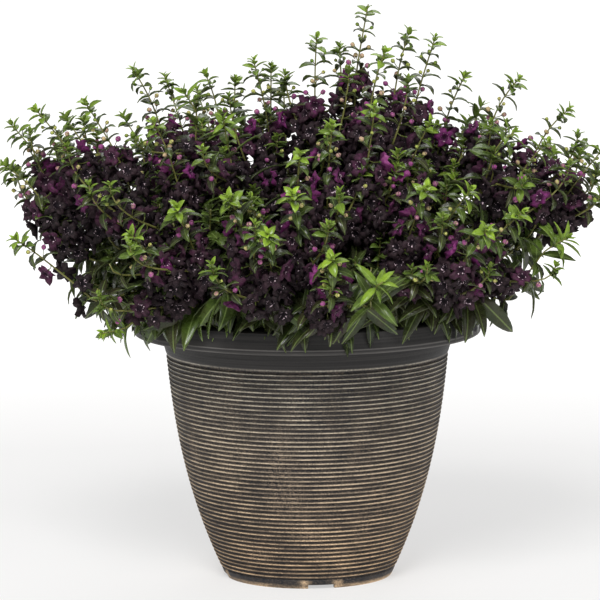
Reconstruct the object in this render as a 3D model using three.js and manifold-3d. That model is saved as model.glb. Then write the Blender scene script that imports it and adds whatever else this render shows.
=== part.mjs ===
// A potted angelonia: a ribbed planter filled with soil, and a mound of branching leafy shoots
// that carry spikes of five-lobed flowers. Millimetres, +Z up. The origin is the middle of the
// pot's foot, on the surface that it stands on, and the side that is seen first is -Y.
import * as THREE from 'three';
import { mergeVertices } from 'three/addons/utils/BufferGeometryUtils.js';
import Module from 'manifold-3d';

const wasm = await Module();
wasm.setup();

// Pot
const POT_HEIGHT = 235;
const POT_SIDES = 28;
const WALL = 3;
const FOOT_RADIUS = 73.3;
const FOOT_RING = 5.3;
const FLOOR_UNDERSIDE = 4;
const FLOOR_TOP = 7;
const BODY_HEIGHT = 194;
const BODY_FLARE = 20;
const BODY_BELLY = 30;
const BELLY_POWER = 2.45;
const RIB_COUNT = 10;
const FIRST_RIB = 9;
const RIB_DEPTH = 2;
const NECK_TOP = 215;
const NECK_RADIUS = 127.5;
const RIM_RADIUS = 152.5;
const RIM_STEP = 1;
const NOTCH_COUNT = 4;
const NOTCH_WIDTH = 23;
const NOTCH_HEIGHT = 3.5;
const NOTCH_TURN = THREE.MathUtils.degToRad(-81.4);
const DRAIN_RADIUS = 6;
const DRAIN_CIRCLE = 48;

// Soil
const SOIL_SIDES = 14;
const SOIL_GAP = 0.4;
const SOIL_EDGE = 203;
const SOIL_DOME = 6;

// Crowns, the woody bases that the stems branch from
const INNER_CROWNS = 4;
const INNER_CIRCLE = 27;
const OUTER_CROWNS = 8;
const OUTER_CIRCLE = 68;
const CROWN_RADIUS = 6.5;
const CROWN_RISE = 5;
const ROOT_DEPTH = 24;
const HOLE_RADIUS = 8;
const CANOPY_TO_CROWN = 0.29;

// Shoots: radii of a stem from its crown to its tip, and how far along its curve its leaves grow
const STEM_BASE = 2;
const LOW_NODE_RADIUS = 1.8;
const HIGH_NODE_RADIUS = 1.7;
const STEM_RADIUS = 1.5;
const BRACT_NODE_RADIUS = 1.3;
const STEM_END_RADIUS = 1.2;
const STEM_FOOT_SHARE = 0.12;
const LOW_NODE_SHARE = 0.45;
const HIGH_NODE_SHARE = 0.8;
const NODE_LENGTH = 4.5;
const NODE_TAPER = 0.95;
const TUFT_BACK = 11;
const TIP_CONE = 5;
const LEAST_RISE = 45;
const RISE_SHARE = 0.45;
const BEND_SHARE = 0.74;
const BEND_DROP = 60;
const OUTER_REACH = 150;
const RIM_CLEARANCE = 30;
const LEAFY_LENGTH = 48;
const TIP_LENGTH = 34;
const TIP_LENGTH_RISE = 0.14;
const LOW_TIP = 290;
const LEAN_CENTRE = 200;
const LEAN_RISE = 2;

// Flower heads
const WHORL_PITCH = 28;
const CORE_START = 2;
const CORE_RADIUS = 6;
const CORE_BORE = 2.3;
const FLOWER_REACH = 14.5;
const FLOWER_RADIUS = 13.5;
const TOP_FLOWER_SHARE = 0.86;
const LOBES = 5;
const LOBE_VALLEY = 0.62;
const THROAT_DEPTH = 3.2;

// Leaves
const LEAF_LENGTH = 52;
const LEAF_WIDTH = 12;
const BRACT_LENGTH = 19;
const BRACT_WIDTH = 6;
const TUFT_LENGTH = 13;
const TUFT_WIDTH = 5.5;
const KEEL_SHARE = 0.15;
const KEEL_DEPTH = 0.4;
const CLEARANCE = 0.35;

// Tip of each shoot in x, y and z, then its number of flower whorls, where 0 is a leafy shoot,
// and for a shoot that hangs, how steeply its end falls
const SHOOTS = [
  // left side, from the outermost inwards
  [-258, 25, 396, 2],
  [-262, -30, 366, 2],
  [-232, -50, 416, 3],
  [-214, 62, 400, 2],
  [-188, -82, 425, 3],
  [-250, -70, 306, 2],
  [-175, -100, 228, 0, -0.35],
  [-150, 5, 445, 3],
  [-125, 80, 433, 2],
  [-130, -105, 410, 2],
  [-105, -45, 430, 0],
  [-88, 40, 438, 2],
  [-147, -185, 324, 2],
  [-108, -188, 346, 2],
  // middle, from the back forwards
  [-20, 95, 425, 0],
  [92, 60, 473, 3],
  [55, 10, 500, 3],
  [10, -25, 475, 2],
  [-45, -25, 455, 3],
  [68, -75, 466, 3],
  [112, -30, 474, 3],
  [-70, -95, 410, 0],
  [22, -140, 410, 2],
  [58, -135, 425, 2],
  [-5, -180, 390, 2],
  [-65, -205, 356, 2],
  [-12, -218, 360, 2],
  [-32, -242, 330, 2],
  [20, -244, 310, 2],
  [62, -246, 290, 0],
  // right side, from the inside outwards
  [105, -120, 410, 2],
  [100, -180, 361, 2],
  [138, -150, 355, 2],
  [140, 25, 437, 3],
  [157, 90, 404, 0],
  [185, -10, 436, 2],
  [178, -75, 396, 0],
  [208, -60, 386, 2],
  [182, -135, 334, 2],
  [150, -192, 327, 2],
  [222, -88, 306, 0],
  [232, 40, 405, 2],
  [262, -15, 380, 2],
  // back
  [-222, 120, 360, 2],
  [-165, 140, 392, 2],
  [-172, 196, 325, 2],
  [-98, 142, 415, 2],
  [-70, 222, 335, 2],
  [-22, 178, 388, 2],
  [38, 125, 432, 2],
  [42, 246, 318, 2],
  [-20, 250, 290, 0],
  [92, 182, 384, 2],
  [150, 155, 385, 2],
  [128, 226, 310, 0],
  [222, 112, 360, 2],
  [190, 186, 315, 0],
];

const POT_FINISH = { color: 0x5a4a3c, roughness: 0.75, metalness: 0.15 };
const SOIL_FINISH = { color: 0x2e2118, roughness: 1.0, metalness: 0.0 };
const GREEN_FINISH = { color: 0x3f7a2c, roughness: 0.55, metalness: 0.0 };
const PETAL_FINISH = { color: 0x3c1440, roughness: 0.6, metalness: 0.0 };

const UP = new THREE.Vector3(0, 0, 1);
const vec = (x, y, z) => new THREE.Vector3(x, y, z);
const mix = (a, b, t) => a.clone().lerp(b, t);
const along = (point, direction, distance) => point.clone().addScaledVector(direction, distance);
const sumOf = (points) => points.reduce((sum, p) => sum.add(p), vec(0, 0, 0));
const middle = (points) => sumOf(points).divideScalar(points.length);

// Draws from one seed, the same on every run
function dice(seed) {
  let state = (seed * 48271 + 11) % 2147483647;
  return (low, high) => {
    state = (state * 16807) % 2147483647;
    return low + ((high - low) * state) / 2147483647;
  };
}

// A closed skin of triangles. Leaves, stems and petals are each drawn out of one triangle of what
// carries them, called their seat, so the whole stays one body with no joins inside it.
class Skin {
  constructor() {
    this.points = [];
    this.faces = [];
  }

  loop(points) {
    const first = this.points.length;
    this.points.push(...points.map((p) => p.clone()));
    return points.map((p, i) => first + i);
  }

  face(a, b, c) {
    this.faces.push([a, b, c]);
  }

  // Walls between two loops of equal count, both counter-clockwise seen from the upper one
  band(lower, upper) {
    lower.forEach((a, i) => {
      const j = (i + 1) % lower.length;
      this.face(a, lower[j], upper[j]);
      this.face(a, upper[j], upper[i]);
    });
  }

  // Closes a loop with a fan to one point
  point(loop, tip) {
    const [top] = this.loop([tip]);
    loop.forEach((a, i) => this.face(a, loop[(i + 1) % loop.length], top));
  }

  geometry() {
    const geometry = new THREE.BufferGeometry();
    const places = this.points.flatMap((p) => p.toArray());
    geometry.setAttribute('position', new THREE.Float32BufferAttribute(places, 3));
    geometry.setIndex(this.faces.flat());
    return geometry;
  }
}

// A three.js geometry as a solid, with shared points merged and empty triangles dropped
function toSolid(geometry) {
  const plain = geometry.clone();
  plain.deleteAttribute('normal');
  plain.deleteAttribute('uv');
  const merged = mergeVertices(plain, 1e-4);
  const index = merged.index.array;
  const corners = [];
  for (let i = 0; i < index.length; i += 3) {
    const [a, b, c] = index.slice(i, i + 3);
    if (a !== b && b !== c && c !== a) corners.push(a, b, c);
  }
  const vertProperties = new Float32Array(merged.attributes.position.array);
  return new wasm.Manifold(new wasm.Mesh({ numProp: 3, vertProperties, triVerts: new Uint32Array(corners) }));
}

function toGeometry(solid) {
  const mesh = solid.getMesh();
  const geometry = new THREE.BufferGeometry();
  geometry.setAttribute('position', new THREE.BufferAttribute(new Float32Array(mesh.vertProperties), 3));
  geometry.setIndex(new THREE.BufferAttribute(new Uint32Array(mesh.triVerts), 1));
  return geometry;
}

function lathe(profile, sides) {
  const geometry = new THREE.LatheGeometry(profile.map(([r, z]) => new THREE.Vector2(r, z)), sides);
  return toSolid(geometry.rotateX(Math.PI / 2));
}

// An upright prism on a base point, with a flat side turned to face an angle
function post(radius, height, sides, x, y, z, facing = 0) {
  const geometry = new THREE.CylinderGeometry(radius, radius, height, sides).rotateX(Math.PI / 2);
  geometry.rotateZ(facing + Math.PI / 2 + Math.PI / sides);
  return toSolid(geometry.translate(x, y, z + height / 2));
}

function mesh(name, geometry, finish) {
  const part = new THREE.Mesh(geometry, new THREE.MeshStandardMaterial(finish));
  part.name = name;
  return part;
}

// Radius of the rib crests at a height, a straight flare with a belly low down
function bodyRadius(z) {
  const h = Math.min(z / BODY_HEIGHT, 1);
  return FOOT_RADIUS + BODY_FLARE * h + BODY_BELLY * (1 - (1 - h) ** BELLY_POWER);
}

const innerRadius = (z) => bodyRadius(z) - RIB_DEPTH - WALL;

// Heights at which the inner wall bends, from the top down
const INNER_BENDS = [NECK_TOP, SOIL_EDGE, 120, 55, FLOOR_TOP];

function pot() {
  const outside = [
    [0, FLOOR_UNDERSIDE],
    [FOOT_RADIUS - FOOT_RING - 1, FLOOR_UNDERSIDE],
    [FOOT_RADIUS - FOOT_RING, 0],
    [FOOT_RADIUS, 0],
  ];
  const pitch = (BODY_HEIGHT - FIRST_RIB) / RIB_COUNT;
  for (let rib = 0; rib < RIB_COUNT; rib += 1) {
    const crest = FIRST_RIB + rib * pitch;
    const valley = crest + pitch / 2;
    outside.push([bodyRadius(crest), crest], [bodyRadius(valley) - RIB_DEPTH, valley]);
  }
  const skirt = RIM_RADIUS - RIM_STEP;
  const rim = [
    [bodyRadius(BODY_HEIGHT), BODY_HEIGHT],
    [NECK_RADIUS, NECK_TOP],
    [NECK_RADIUS, POT_HEIGHT - WALL],
    [skirt - WALL, POT_HEIGHT - WALL],
    [skirt - WALL, NECK_TOP],
    [skirt, NECK_TOP],
    [skirt, NECK_TOP + WALL],
    [RIM_RADIUS, NECK_TOP + WALL + RIM_STEP],
    [RIM_RADIUS, POT_HEIGHT - 2],
    [RIM_RADIUS - 2, POT_HEIGHT],
    [NECK_RADIUS - WALL, POT_HEIGHT],
  ];
  const inside = INNER_BENDS.map((z) => [innerRadius(z), z]);
  let solid = lathe([...outside, ...rim, ...inside, [0, FLOOR_TOP]], POT_SIDES);
  for (let i = 0; i < NOTCH_COUNT; i += 1) {
    const turn = NOTCH_TURN + (i * 2 * Math.PI) / NOTCH_COUNT;
    const notch = new THREE.BoxGeometry(3 * FOOT_RING, NOTCH_WIDTH, 2 * NOTCH_HEIGHT);
    notch.translate(FOOT_RADIUS - FOOT_RING / 2, 0, 0).rotateZ(turn);
    const drainTurn = turn + Math.PI / NOTCH_COUNT;
    const drain = [DRAIN_CIRCLE * Math.cos(drainTurn), DRAIN_CIRCLE * Math.sin(drainTurn)];
    solid = solid.subtract(toSolid(notch)).subtract(post(DRAIN_RADIUS, 20, 8, ...drain, -5));
  }
  return solid;
}

const soilTop = (r) => SOIL_EDGE + SOIL_DOME * (1 - (r / innerRadius(SOIL_EDGE)) ** 2);

const turnOf = (share) => share * 2 * Math.PI;
const equalTurns = (count, first) => Array.from({ length: count }, (_, i) => turnOf((i + first) / count));
const crowns = [
  ...equalTurns(INNER_CROWNS, 0.5).map((turn) => [INNER_CIRCLE, turn]),
  ...equalTurns(OUTER_CROWNS, 0).map((turn) => [OUTER_CIRCLE, turn]),
].map(([r, turn]) => vec(r * Math.cos(turn), r * Math.sin(turn), soilTop(r)));

function soil(clumps) {
  const bends = INNER_BENDS.filter((z) => z <= SOIL_EDGE);
  const wall = bends.reverse().map((z) => [innerRadius(z) - SOIL_GAP, Math.max(z, FLOOR_TOP + SOIL_GAP)]);
  const profile = [[0, FLOOR_TOP + SOIL_GAP], ...wall, [0, SOIL_EDGE + SOIL_DOME]];
  const holes = clumps.map(({ crown, turn }) => {
    const { x, y, z } = crowns[crown];
    return post(HOLE_RADIUS, ROOT_DEPTH + 30, 6, x, y, z - ROOT_DEPTH - 1, turn);
  });
  return holes.reduce((rest, hole) => rest.subtract(hole), lathe(profile, SOIL_SIDES));
}

// Three points round a place on a stem, counter-clockwise seen from its growing end. The last
// lies towards the guide, which is carried up the stem so that it doesn't twist.
function stemRing(centre, tangent, guide, radius) {
  const top = guide.clone().addScaledVector(tangent, -guide.dot(tangent)).normalize();
  const side = tangent.clone().cross(top);
  const points = [1, 2, 3].map((i) => {
    const turn = (i * 2 * Math.PI) / 3;
    return along(along(centre, top, radius * Math.cos(turn)), side, radius * Math.sin(turn));
  });
  return { centre, tangent, guide: top, points };
}

// The line of a shoot: a curve from its crown, over the rim where it goes that far out, and then
// a straight flowering end
function shootLine(index) {
  const [x, y, z, whorls, fall] = SHOOTS[index];
  const tip = vec(x, y, z);
  const reach = Math.hypot(x, y);
  const lean = vec(x, y, fall === undefined ? LEAN_RISE * (z - LEAN_CENTRE) : fall * reach).normalize();
  const tipLength = TIP_LENGTH + TIP_LENGTH_RISE * Math.max(z - LOW_TIP, 0);
  const straight = whorls ? tipLength + whorls * WHORL_PITCH : LEAFY_LENGTH;
  const headBase = along(tip, lean, -straight);
  const mapped = vec(x * CANOPY_TO_CROWN, y * CANOPY_TO_CROWN, soilTop(0));
  const distances = crowns.map((c) => Math.hypot(c.x - mapped.x, c.y - mapped.y));
  const crown = distances.indexOf(Math.min(...distances));
  return { index, tip, whorls, lean, straight, headBase, crown, tipLength };
}

// The rings of a stem from its seat on the crown to just under its tip, and which pairs of them
// are nodes, the short stretches that bear leaves
function growStem(shoot, seatPoints) {
  const { headBase, lean, tip, whorls, straight } = shoot;
  const seat = middle(seatPoints);
  const rise = Math.max(LEAST_RISE, RISE_SHARE * (headBase.z - seat.z));
  const first = mix(seat, headBase, STEM_FOOT_SHARE).setZ(seat.z + rise);
  const over = Math.max(headBase.z - BEND_DROP * Math.max(lean.z, 0), POT_HEIGHT + RIM_CLEARANCE);
  const second = vec(headBase.x * BEND_SHARE, headBase.y * BEND_SHARE, over);
  const curve = new THREE.CubicBezierCurve3(seat, first, second, headBase);
  const rings = [];
  const nodes = [];
  const outer = Math.hypot(tip.x, tip.y) > OUTER_REACH;
  let guide = seatPoints[2].clone().sub(seat);
  const ring = (centre, tangent, radius) => {
    rings.push(stemRing(centre, tangent, guide, radius));
    guide = rings[rings.length - 1].guide;
  };
  const node = (centre, tangent, radius, kind, most) => {
    ring(centre, tangent, radius);
    nodes.push({ ring: rings.length - 1, kind, most, outer });
    ring(along(centre, tangent, NODE_LENGTH), tangent, radius * NODE_TAPER);
  };
  const leafNode = (share, radius, most) => {
    node(curve.getPoint(share), curve.getTangent(share), radius, 'leaf', most);
  };
  if (outer) {
    ring(curve.getPoint(STEM_FOOT_SHARE), curve.getTangent(STEM_FOOT_SHARE), STEM_BASE);
    leafNode(LOW_NODE_SHARE, LOW_NODE_RADIUS, 1);
  }
  leafNode(HIGH_NODE_SHARE, HIGH_NODE_RADIUS, 2);
  const place = (distance) => along(headBase, lean, distance);
  ring(place(0), lean, STEM_RADIUS);
  const bracts = whorls ? whorls * WHORL_PITCH + 0.3 * shoot.tipLength : 0.45 * straight;
  node(place(bracts), lean, BRACT_NODE_RADIUS, 'bract', 2);
  ring(place(straight - TUFT_BACK), lean, STEM_END_RADIUS);
  nodes.push({ ring: rings.length - 1, kind: 'tuft', most: 3 });
  return { rings, nodes };
}

// The stem ends in a low cone, and the tuft's blades are drawn out of its three sides
const stemApex = (stem) => {
  const last = stem.rings[stem.rings.length - 1];
  return along(last.centre, last.tangent, TIP_CONE);
};

// Corners of the seat on one side of a node: below, above right and above left, or on the tip
// below left, below right and the apex
function nodeSeat(stem, node, side) {
  const lower = stem.rings[node.ring].points;
  const next = (side + 1) % 3;
  if (node.kind === 'tuft') return [lower[side], lower[next], stemApex(stem)];
  const upper = stem.rings[node.ring + 1].points;
  return [lower[side], upper[next], upper[side]];
}

// Size and pose of a blade, which differ along the shoot
function bladeSize(kind, draw) {
  if (kind === 'leaf') {
    return { length: LEAF_LENGTH * draw(0.8, 1.05), width: LEAF_WIDTH, lift: draw(0.1, 0.7), droop: 0.5 };
  }
  if (kind === 'bract') {
    return { length: BRACT_LENGTH * draw(0.85, 1.1), width: BRACT_WIDTH, lift: draw(0.3, 0.8), droop: 0.15 };
  }
  return { length: TUFT_LENGTH * draw(0.85, 1.1), width: TUFT_WIDTH, lift: draw(0.3, 0.9), droop: 0.05 };
}

// A blade drawn out of a seat. It widens to its middle, ends in a point and is three-edged, and
// gravity bends it down. Its third edge is a keel below, or on the tuft a ridge above.
function blade(stem, node, side, draw) {
  const ring = stem.rings[node.ring];
  const seat = nodeSeat(stem, node, side);
  const base = middle(seat);
  const out = base.clone().sub(ring.centre);
  out.addScaledVector(ring.tangent, -out.dot(ring.tangent)).normalize();
  const right = ring.tangent.clone().cross(out).normalize();
  const size = bladeSize(node.kind, draw);
  const forward = along(out.clone().multiplyScalar(Math.cos(size.lift)), ring.tangent, Math.sin(size.lift));
  const at = (t) => along(along(base, forward, size.length * t), UP, -size.droop * size.length * t * t);
  const section = (t, width) => {
    const heading = at(t + 0.05).sub(at(t - 0.05)).normalize();
    const top = heading.clone().cross(right).normalize();
    const rightEdge = along(at(t), right, width / 2);
    const leftEdge = along(at(t), right, -width / 2);
    const third = along(at(t), top, (node.kind === 'tuft' ? 1 : -1) * (KEEL_SHARE * width + KEEL_DEPTH));
    return node.kind === 'tuft' ? [leftEdge, rightEdge, third] : [third, rightEdge, leftEdge];
  };
  const long = node.kind === 'leaf' && node.outer;
  const sections = long
    ? [section(0.3, size.width), section(0.68, 0.8 * size.width)]
    : [section(0.42, size.width)];
  return { seat, sections, tip: at(1) };
}

function drawBlade(skin, seat, { sections, tip }) {
  const last = sections.reduce((lower, points) => {
    const upper = skin.loop(points);
    skin.band(lower, upper);
    return upper;
  }, seat);
  skin.point(last, tip);
}

// The core of a flower head: bands of triangles round the stem, each ring of three turned by a
// sixth of a circle from the one below, with a bore that the stem passes through
function headCore(shoot, stem) {
  const { guide } = stem.rings.find((ring) => ring.centre.equals(shoot.headBase));
  const side = shoot.lean.clone().cross(guide);
  const ringAt = (distance, radius, turn) => [1, 2, 3].map((i) => {
    const angle = (i * 2 * Math.PI) / 3 + turn;
    const centre = along(shoot.headBase, shoot.lean, distance);
    return along(along(centre, guide, radius * Math.cos(angle)), side, radius * Math.sin(angle));
  });
  const rings = [];
  for (let level = 0; level <= shoot.whorls; level += 1) {
    rings.push(ringAt(CORE_START + level * (WHORL_PITCH - 1), CORE_RADIUS, (level * Math.PI) / 3));
  }
  const last = CORE_START + shoot.whorls * (WHORL_PITCH - 1);
  const bore = [ringAt(CORE_START, CORE_BORE, 0), ringAt(last, CORE_BORE, 0)];
  return { rings, bore };
}

// The upright triangles of each band, which the flowers grow from
function flowerSeats(core) {
  return core.rings.slice(0, -1).flatMap((lower, level) => lower.map((point, i) => {
    const upper = core.rings[level + 1];
    return { level, i, corners: [point, lower[(i + 1) % 3], upper[i]] };
  }));
}

// A flower drawn out of its seat: a funnel that opens into five lobes round a sunken throat
function flower(shoot, seat, draw) {
  const base = mix(mix(seat.corners[0], seat.corners[1], 0.5), seat.corners[2], 0.47);
  const axis = along(shoot.headBase, shoot.lean, base.clone().sub(shoot.headBase).dot(shoot.lean));
  const out = base.clone().sub(axis).normalize();
  const facing = along(out, shoot.lean, draw(-0.15, 0.25)).normalize();
  const right = shoot.lean.clone().cross(facing).normalize();
  const top = facing.clone().cross(right);
  const grown = seat.level === shoot.whorls - 1 ? TOP_FLOWER_SHARE : 1;
  const radius = FLOWER_RADIUS * grown * draw(0.9, 1.02);
  const centre = along(axis, out, FLOWER_REACH * draw(0.94, 1.06));
  const outline = Array.from({ length: 2 * LOBES }, (_, j) => {
    const angle = Math.PI / 2 + (j * Math.PI) / LOBES;
    const r = radius * (j % 2 ? LOBE_VALLEY : draw(0.94, 1.06));
    const flare = j % 2 ? 0.5 : draw(-2, 0.5);
    return along(along(along(centre, right, r * Math.cos(angle)), top, r * Math.sin(angle)), facing, flare);
  });
  return { seat: seat.corners, outline, throat: along(centre, facing, -THROAT_DEPTH) };
}

// Which corner of the seat each edge of the outline runs back to: above, left or right
const OUTLINE_OWNER = [2, 2, 0, 0, 0, 1, 1, 1, 2, 2];

function drawFlower(skin, seat, { outline, throat }) {
  const edge = skin.loop(outline);
  const [middlePoint] = skin.loop([throat]);
  edge.forEach((point, j) => {
    const next = edge[(j + 1) % edge.length];
    const owner = seat[OUTLINE_OWNER[j]];
    const nextOwner = seat[OUTLINE_OWNER[(j + 1) % edge.length]];
    skin.face(owner, next, point);
    if (nextOwner !== owner) skin.face(owner, nextOwner, next);
    skin.face(middlePoint, point, next);
  });
}

// What is already there, so that nothing new crosses it
const taken = [];

function closedPiece(seatPoints, drawing, piece) {
  const skin = new Skin();
  const seat = skin.loop(seatPoints);
  skin.face(seat[0], seat[2], seat[1]);
  drawing(skin, seat, piece);
  return toSolid(skin.geometry());
}

function take(solid, shoot, kind) {
  const box = solid.boundingBox();
  taken.push({ solid, box: new THREE.Box3(vec(...box.min), vec(...box.max)), shoot, kind });
}

// Pieces of one shoot may share a corner. All others keep a small clearance.
function isFree(solid, shoot, kind, carrier) {
  const { min, max } = solid.boundingBox();
  const box = new THREE.Box3(vec(...min), vec(...max)).expandByScalar(CLEARANCE);
  return !taken.some((other) => {
    if (!box.intersectsBox(other.box)) return false;
    if (other.shoot === shoot && other.kind === carrier) return false;
    if (other.shoot === shoot && other.kind === kind) return solid.intersect(other.solid).volume() > 1e-6;
    return solid.minGap(other.solid, CLEARANCE) < CLEARANCE;
  });
}

// Crown and root of one clump: a low cone with a face for each of its shoots, over a root that
// tapers down into the soil
function crownRing(crown, count, turn) {
  const centre = crowns[crown];
  return Array.from({ length: count }, (_, i) => {
    const angle = turn + (i * 2 * Math.PI) / count;
    const outwards = vec(Math.cos(angle), Math.sin(angle), 0);
    return along(along(centre, outwards, CROWN_RADIUS), UP, 0.5);
  });
}

// Shoots of a clump in their order round it, and how far its faces turn to meet them
function arrange(crown, lines) {
  const own = lines.filter((line) => line.crown === crown);
  const centre = middle(own.map((line) => line.tip));
  const angle = (line) => Math.atan2(line.tip.y - centre.y, line.tip.x - centre.x);
  const ordered = own.sort((a, b) => angle(a) - angle(b));
  const step = (2 * Math.PI) / ordered.length;
  const slip = ordered.map((line, i) => angle(line) - (i + 0.5) * step);
  const turn = Math.atan2(
    slip.reduce((sum, s) => sum + Math.sin(s), 0),
    slip.reduce((sum, s) => sum + Math.cos(s), 0),
  );
  return { crown, ordered, turn };
}

const lines = SHOOTS.map((row, index) => shootLine(index));
const clumps = crowns.map((_, crown) => arrange(crown, lines)).filter((clump) => clump.ordered.length > 2);

// Stems and cores first, then tips, flowers and last the large leaves
const shoots = clumps.flatMap((clump, number) => {
  const ring = crownRing(clump.crown, clump.ordered.length, clump.turn);
  const apex = along(crowns[clump.crown], UP, CROWN_RISE);
  return clump.ordered.map((line, i) => {
    const seat = [ring[i], ring[(i + 1) % ring.length], apex];
    const stem = growStem(line, seat);
    const core = line.whorls ? headCore(line, stem) : null;
    const draw = dice(100 + line.index);
    return { ...line, clump: number, seat, stem, core, draw, blades: [], flowers: [] };
  });
});

function drawStem(skin, seat, stem, blades) {
  const loops = [seat, ...stem.rings.map((ring) => skin.loop(ring.points))];
  loops.slice(1).forEach((upper, k) => {
    const lower = loops[k];
    lower.forEach((a, side) => {
      const next = (side + 1) % 3;
      const grown = blades.find((b) => b.ring === k - 1 && b.side === side);
      skin.face(a, lower[next], upper[next]);
      if (grown) drawBlade(skin, [a, upper[next], upper[side]], grown.piece);
      else skin.face(a, upper[next], upper[side]);
    });
  });
  const last = loops[loops.length - 1];
  const [apex] = skin.loop([stemApex(stem)]);
  last.forEach((a, side) => {
    const next = last[(side + 1) % 3];
    const grown = blades.find((b) => b.ring === stem.rings.length - 1 && b.side === side);
    if (grown) drawBlade(skin, [a, next, apex], grown.piece);
    else skin.face(a, next, apex);
  });
}

function drawCore(skin, core, flowers) {
  const loops = core.rings.map((ring) => skin.loop(ring));
  loops.slice(1).forEach((upper, level) => {
    const lower = loops[level];
    lower.forEach((a, i) => {
      const next = (i + 1) % 3;
      const grown = flowers.find((f) => f.level === level && f.i === i);
      if (grown) drawFlower(skin, [a, lower[next], upper[i]], grown.piece);
      else skin.face(a, lower[next], upper[i]);
      skin.face(upper[i], lower[next], upper[next]);
    });
  });
  const [low, high] = core.bore.map((ring) => skin.loop(ring));
  skin.band(low, loops[0]);
  const shift = Math.floor((loops.length - 1) / 2);
  skin.band(loops[loops.length - 1], high.map((_, i) => high[(i + shift) % 3]));
  low.forEach((a, i) => {
    const next = (i + 1) % 3;
    skin.face(a, high[i], low[next]);
    skin.face(low[next], high[i], high[next]);
  });
}

const potSolid = pot();
const soilSolid = soil(clumps);
take(potSolid, 'pot', 'pot');
take(soilSolid, 'soil', 'soil');
for (const shoot of shoots) {
  const stemSolid = closedPiece(shoot.seat, (skin, seat) => drawStem(skin, seat, shoot.stem, []));
  take(stemSolid, shoot.index, 'stem');
  if (shoot.core) {
    const skin = new Skin();
    drawCore(skin, shoot.core, []);
    take(toSolid(skin.geometry()), shoot.index, 'core');
  }
}

function growBlades(shoot, kind) {
  for (const node of shoot.stem.nodes.filter((n) => n.kind === kind)) {
    for (let side = 0; side < 3; side += 1) {
      const piece = blade(shoot.stem, node, side, shoot.draw);
      const solid = closedPiece(piece.seat, drawBlade, piece);
      const enough = shoot.blades.filter((b) => b.ring === node.ring).length >= node.most;
      if (!enough && isFree(solid, shoot.index, 'blade', 'stem')) {
        shoot.blades.push({ ring: node.ring, side, piece });
        take(solid, shoot.index, 'blade');
      }
    }
  }
}

function growFlowers(shoot) {
  if (!shoot.core) return;
  for (const seat of flowerSeats(shoot.core)) {
    const piece = flower(shoot, seat, shoot.draw);
    const solid = closedPiece(piece.seat, drawFlower, piece);
    if (isFree(solid, shoot.index, 'flower', 'core')) {
      shoot.flowers.push({ level: seat.level, i: seat.i, piece });
      take(solid, shoot.index, 'flower');
    }
  }
}

for (const shoot of shoots) growBlades(shoot, 'tuft');
for (const shoot of shoots) growBlades(shoot, 'bract');
for (const shoot of shoots) growFlowers(shoot);
for (const shoot of shoots) growBlades(shoot, 'leaf');

function clumpMesh(clump, number) {
  const skin = new Skin();
  const own = shoots.filter((shoot) => shoot.clump === number);
  const ring = skin.loop(crownRing(clump.crown, own.length, clump.turn));
  const [apex, root] = skin.loop([
    along(crowns[clump.crown], UP, CROWN_RISE),
    along(crowns[clump.crown], UP, -ROOT_DEPTH),
  ]);
  own.forEach((shoot, i) => {
    const next = ring[(i + 1) % ring.length];
    skin.face(next, ring[i], root);
    drawStem(skin, [ring[i], next, apex], shoot.stem, shoot.blades);
  });
  return mesh(`leafy_stems_${number + 1}`, skin.geometry(), GREEN_FINISH);
}

// Flower heads are numbered in the order of their tips
function headMesh(shoot, number) {
  const skin = new Skin();
  drawCore(skin, shoot.core, shoot.flowers);
  return mesh(`flower_head_${number + 1}`, skin.geometry(), PETAL_FINISH);
}

const plant = new THREE.Group();
plant.add(mesh('pot', toGeometry(potSolid), POT_FINISH));
plant.add(mesh('soil', toGeometry(soilSolid), SOIL_FINISH));
clumps.forEach((clump, number) => plant.add(clumpMesh(clump, number)));
const flowering = shoots.filter((shoot) => shoot.core).sort((a, b) => a.index - b.index);
flowering.forEach((shoot, number) => plant.add(headMesh(shoot, number)));

export default plant;
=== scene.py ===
# A potted angelonia: a ribbed planter with a rubbed copper finish, its soil, and the plant's leafy
# stems, buds and dark purple flower heads. Metres, +Z up. The side that is seen first is -Y.
import math

import bpy
import numpy as np
from mathutils import Matrix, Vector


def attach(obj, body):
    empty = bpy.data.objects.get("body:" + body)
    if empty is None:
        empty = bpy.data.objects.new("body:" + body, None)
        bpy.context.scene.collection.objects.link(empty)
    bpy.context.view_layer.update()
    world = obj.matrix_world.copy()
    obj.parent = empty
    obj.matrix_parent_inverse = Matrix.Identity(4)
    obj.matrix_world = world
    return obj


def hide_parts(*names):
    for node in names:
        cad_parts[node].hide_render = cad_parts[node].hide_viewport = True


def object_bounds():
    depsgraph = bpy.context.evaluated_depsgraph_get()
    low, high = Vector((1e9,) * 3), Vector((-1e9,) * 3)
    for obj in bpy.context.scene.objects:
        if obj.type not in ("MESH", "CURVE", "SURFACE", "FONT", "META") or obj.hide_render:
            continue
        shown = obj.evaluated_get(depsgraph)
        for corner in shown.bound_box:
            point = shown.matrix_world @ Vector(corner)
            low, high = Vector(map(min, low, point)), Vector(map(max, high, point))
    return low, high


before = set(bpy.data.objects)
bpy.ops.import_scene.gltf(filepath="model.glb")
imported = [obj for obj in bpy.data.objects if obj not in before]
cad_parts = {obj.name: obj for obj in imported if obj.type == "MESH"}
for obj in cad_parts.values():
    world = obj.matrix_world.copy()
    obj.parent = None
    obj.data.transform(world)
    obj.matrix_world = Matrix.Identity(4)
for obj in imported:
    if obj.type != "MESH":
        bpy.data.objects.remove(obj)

CAD_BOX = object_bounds()
MM = 0.001

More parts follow.
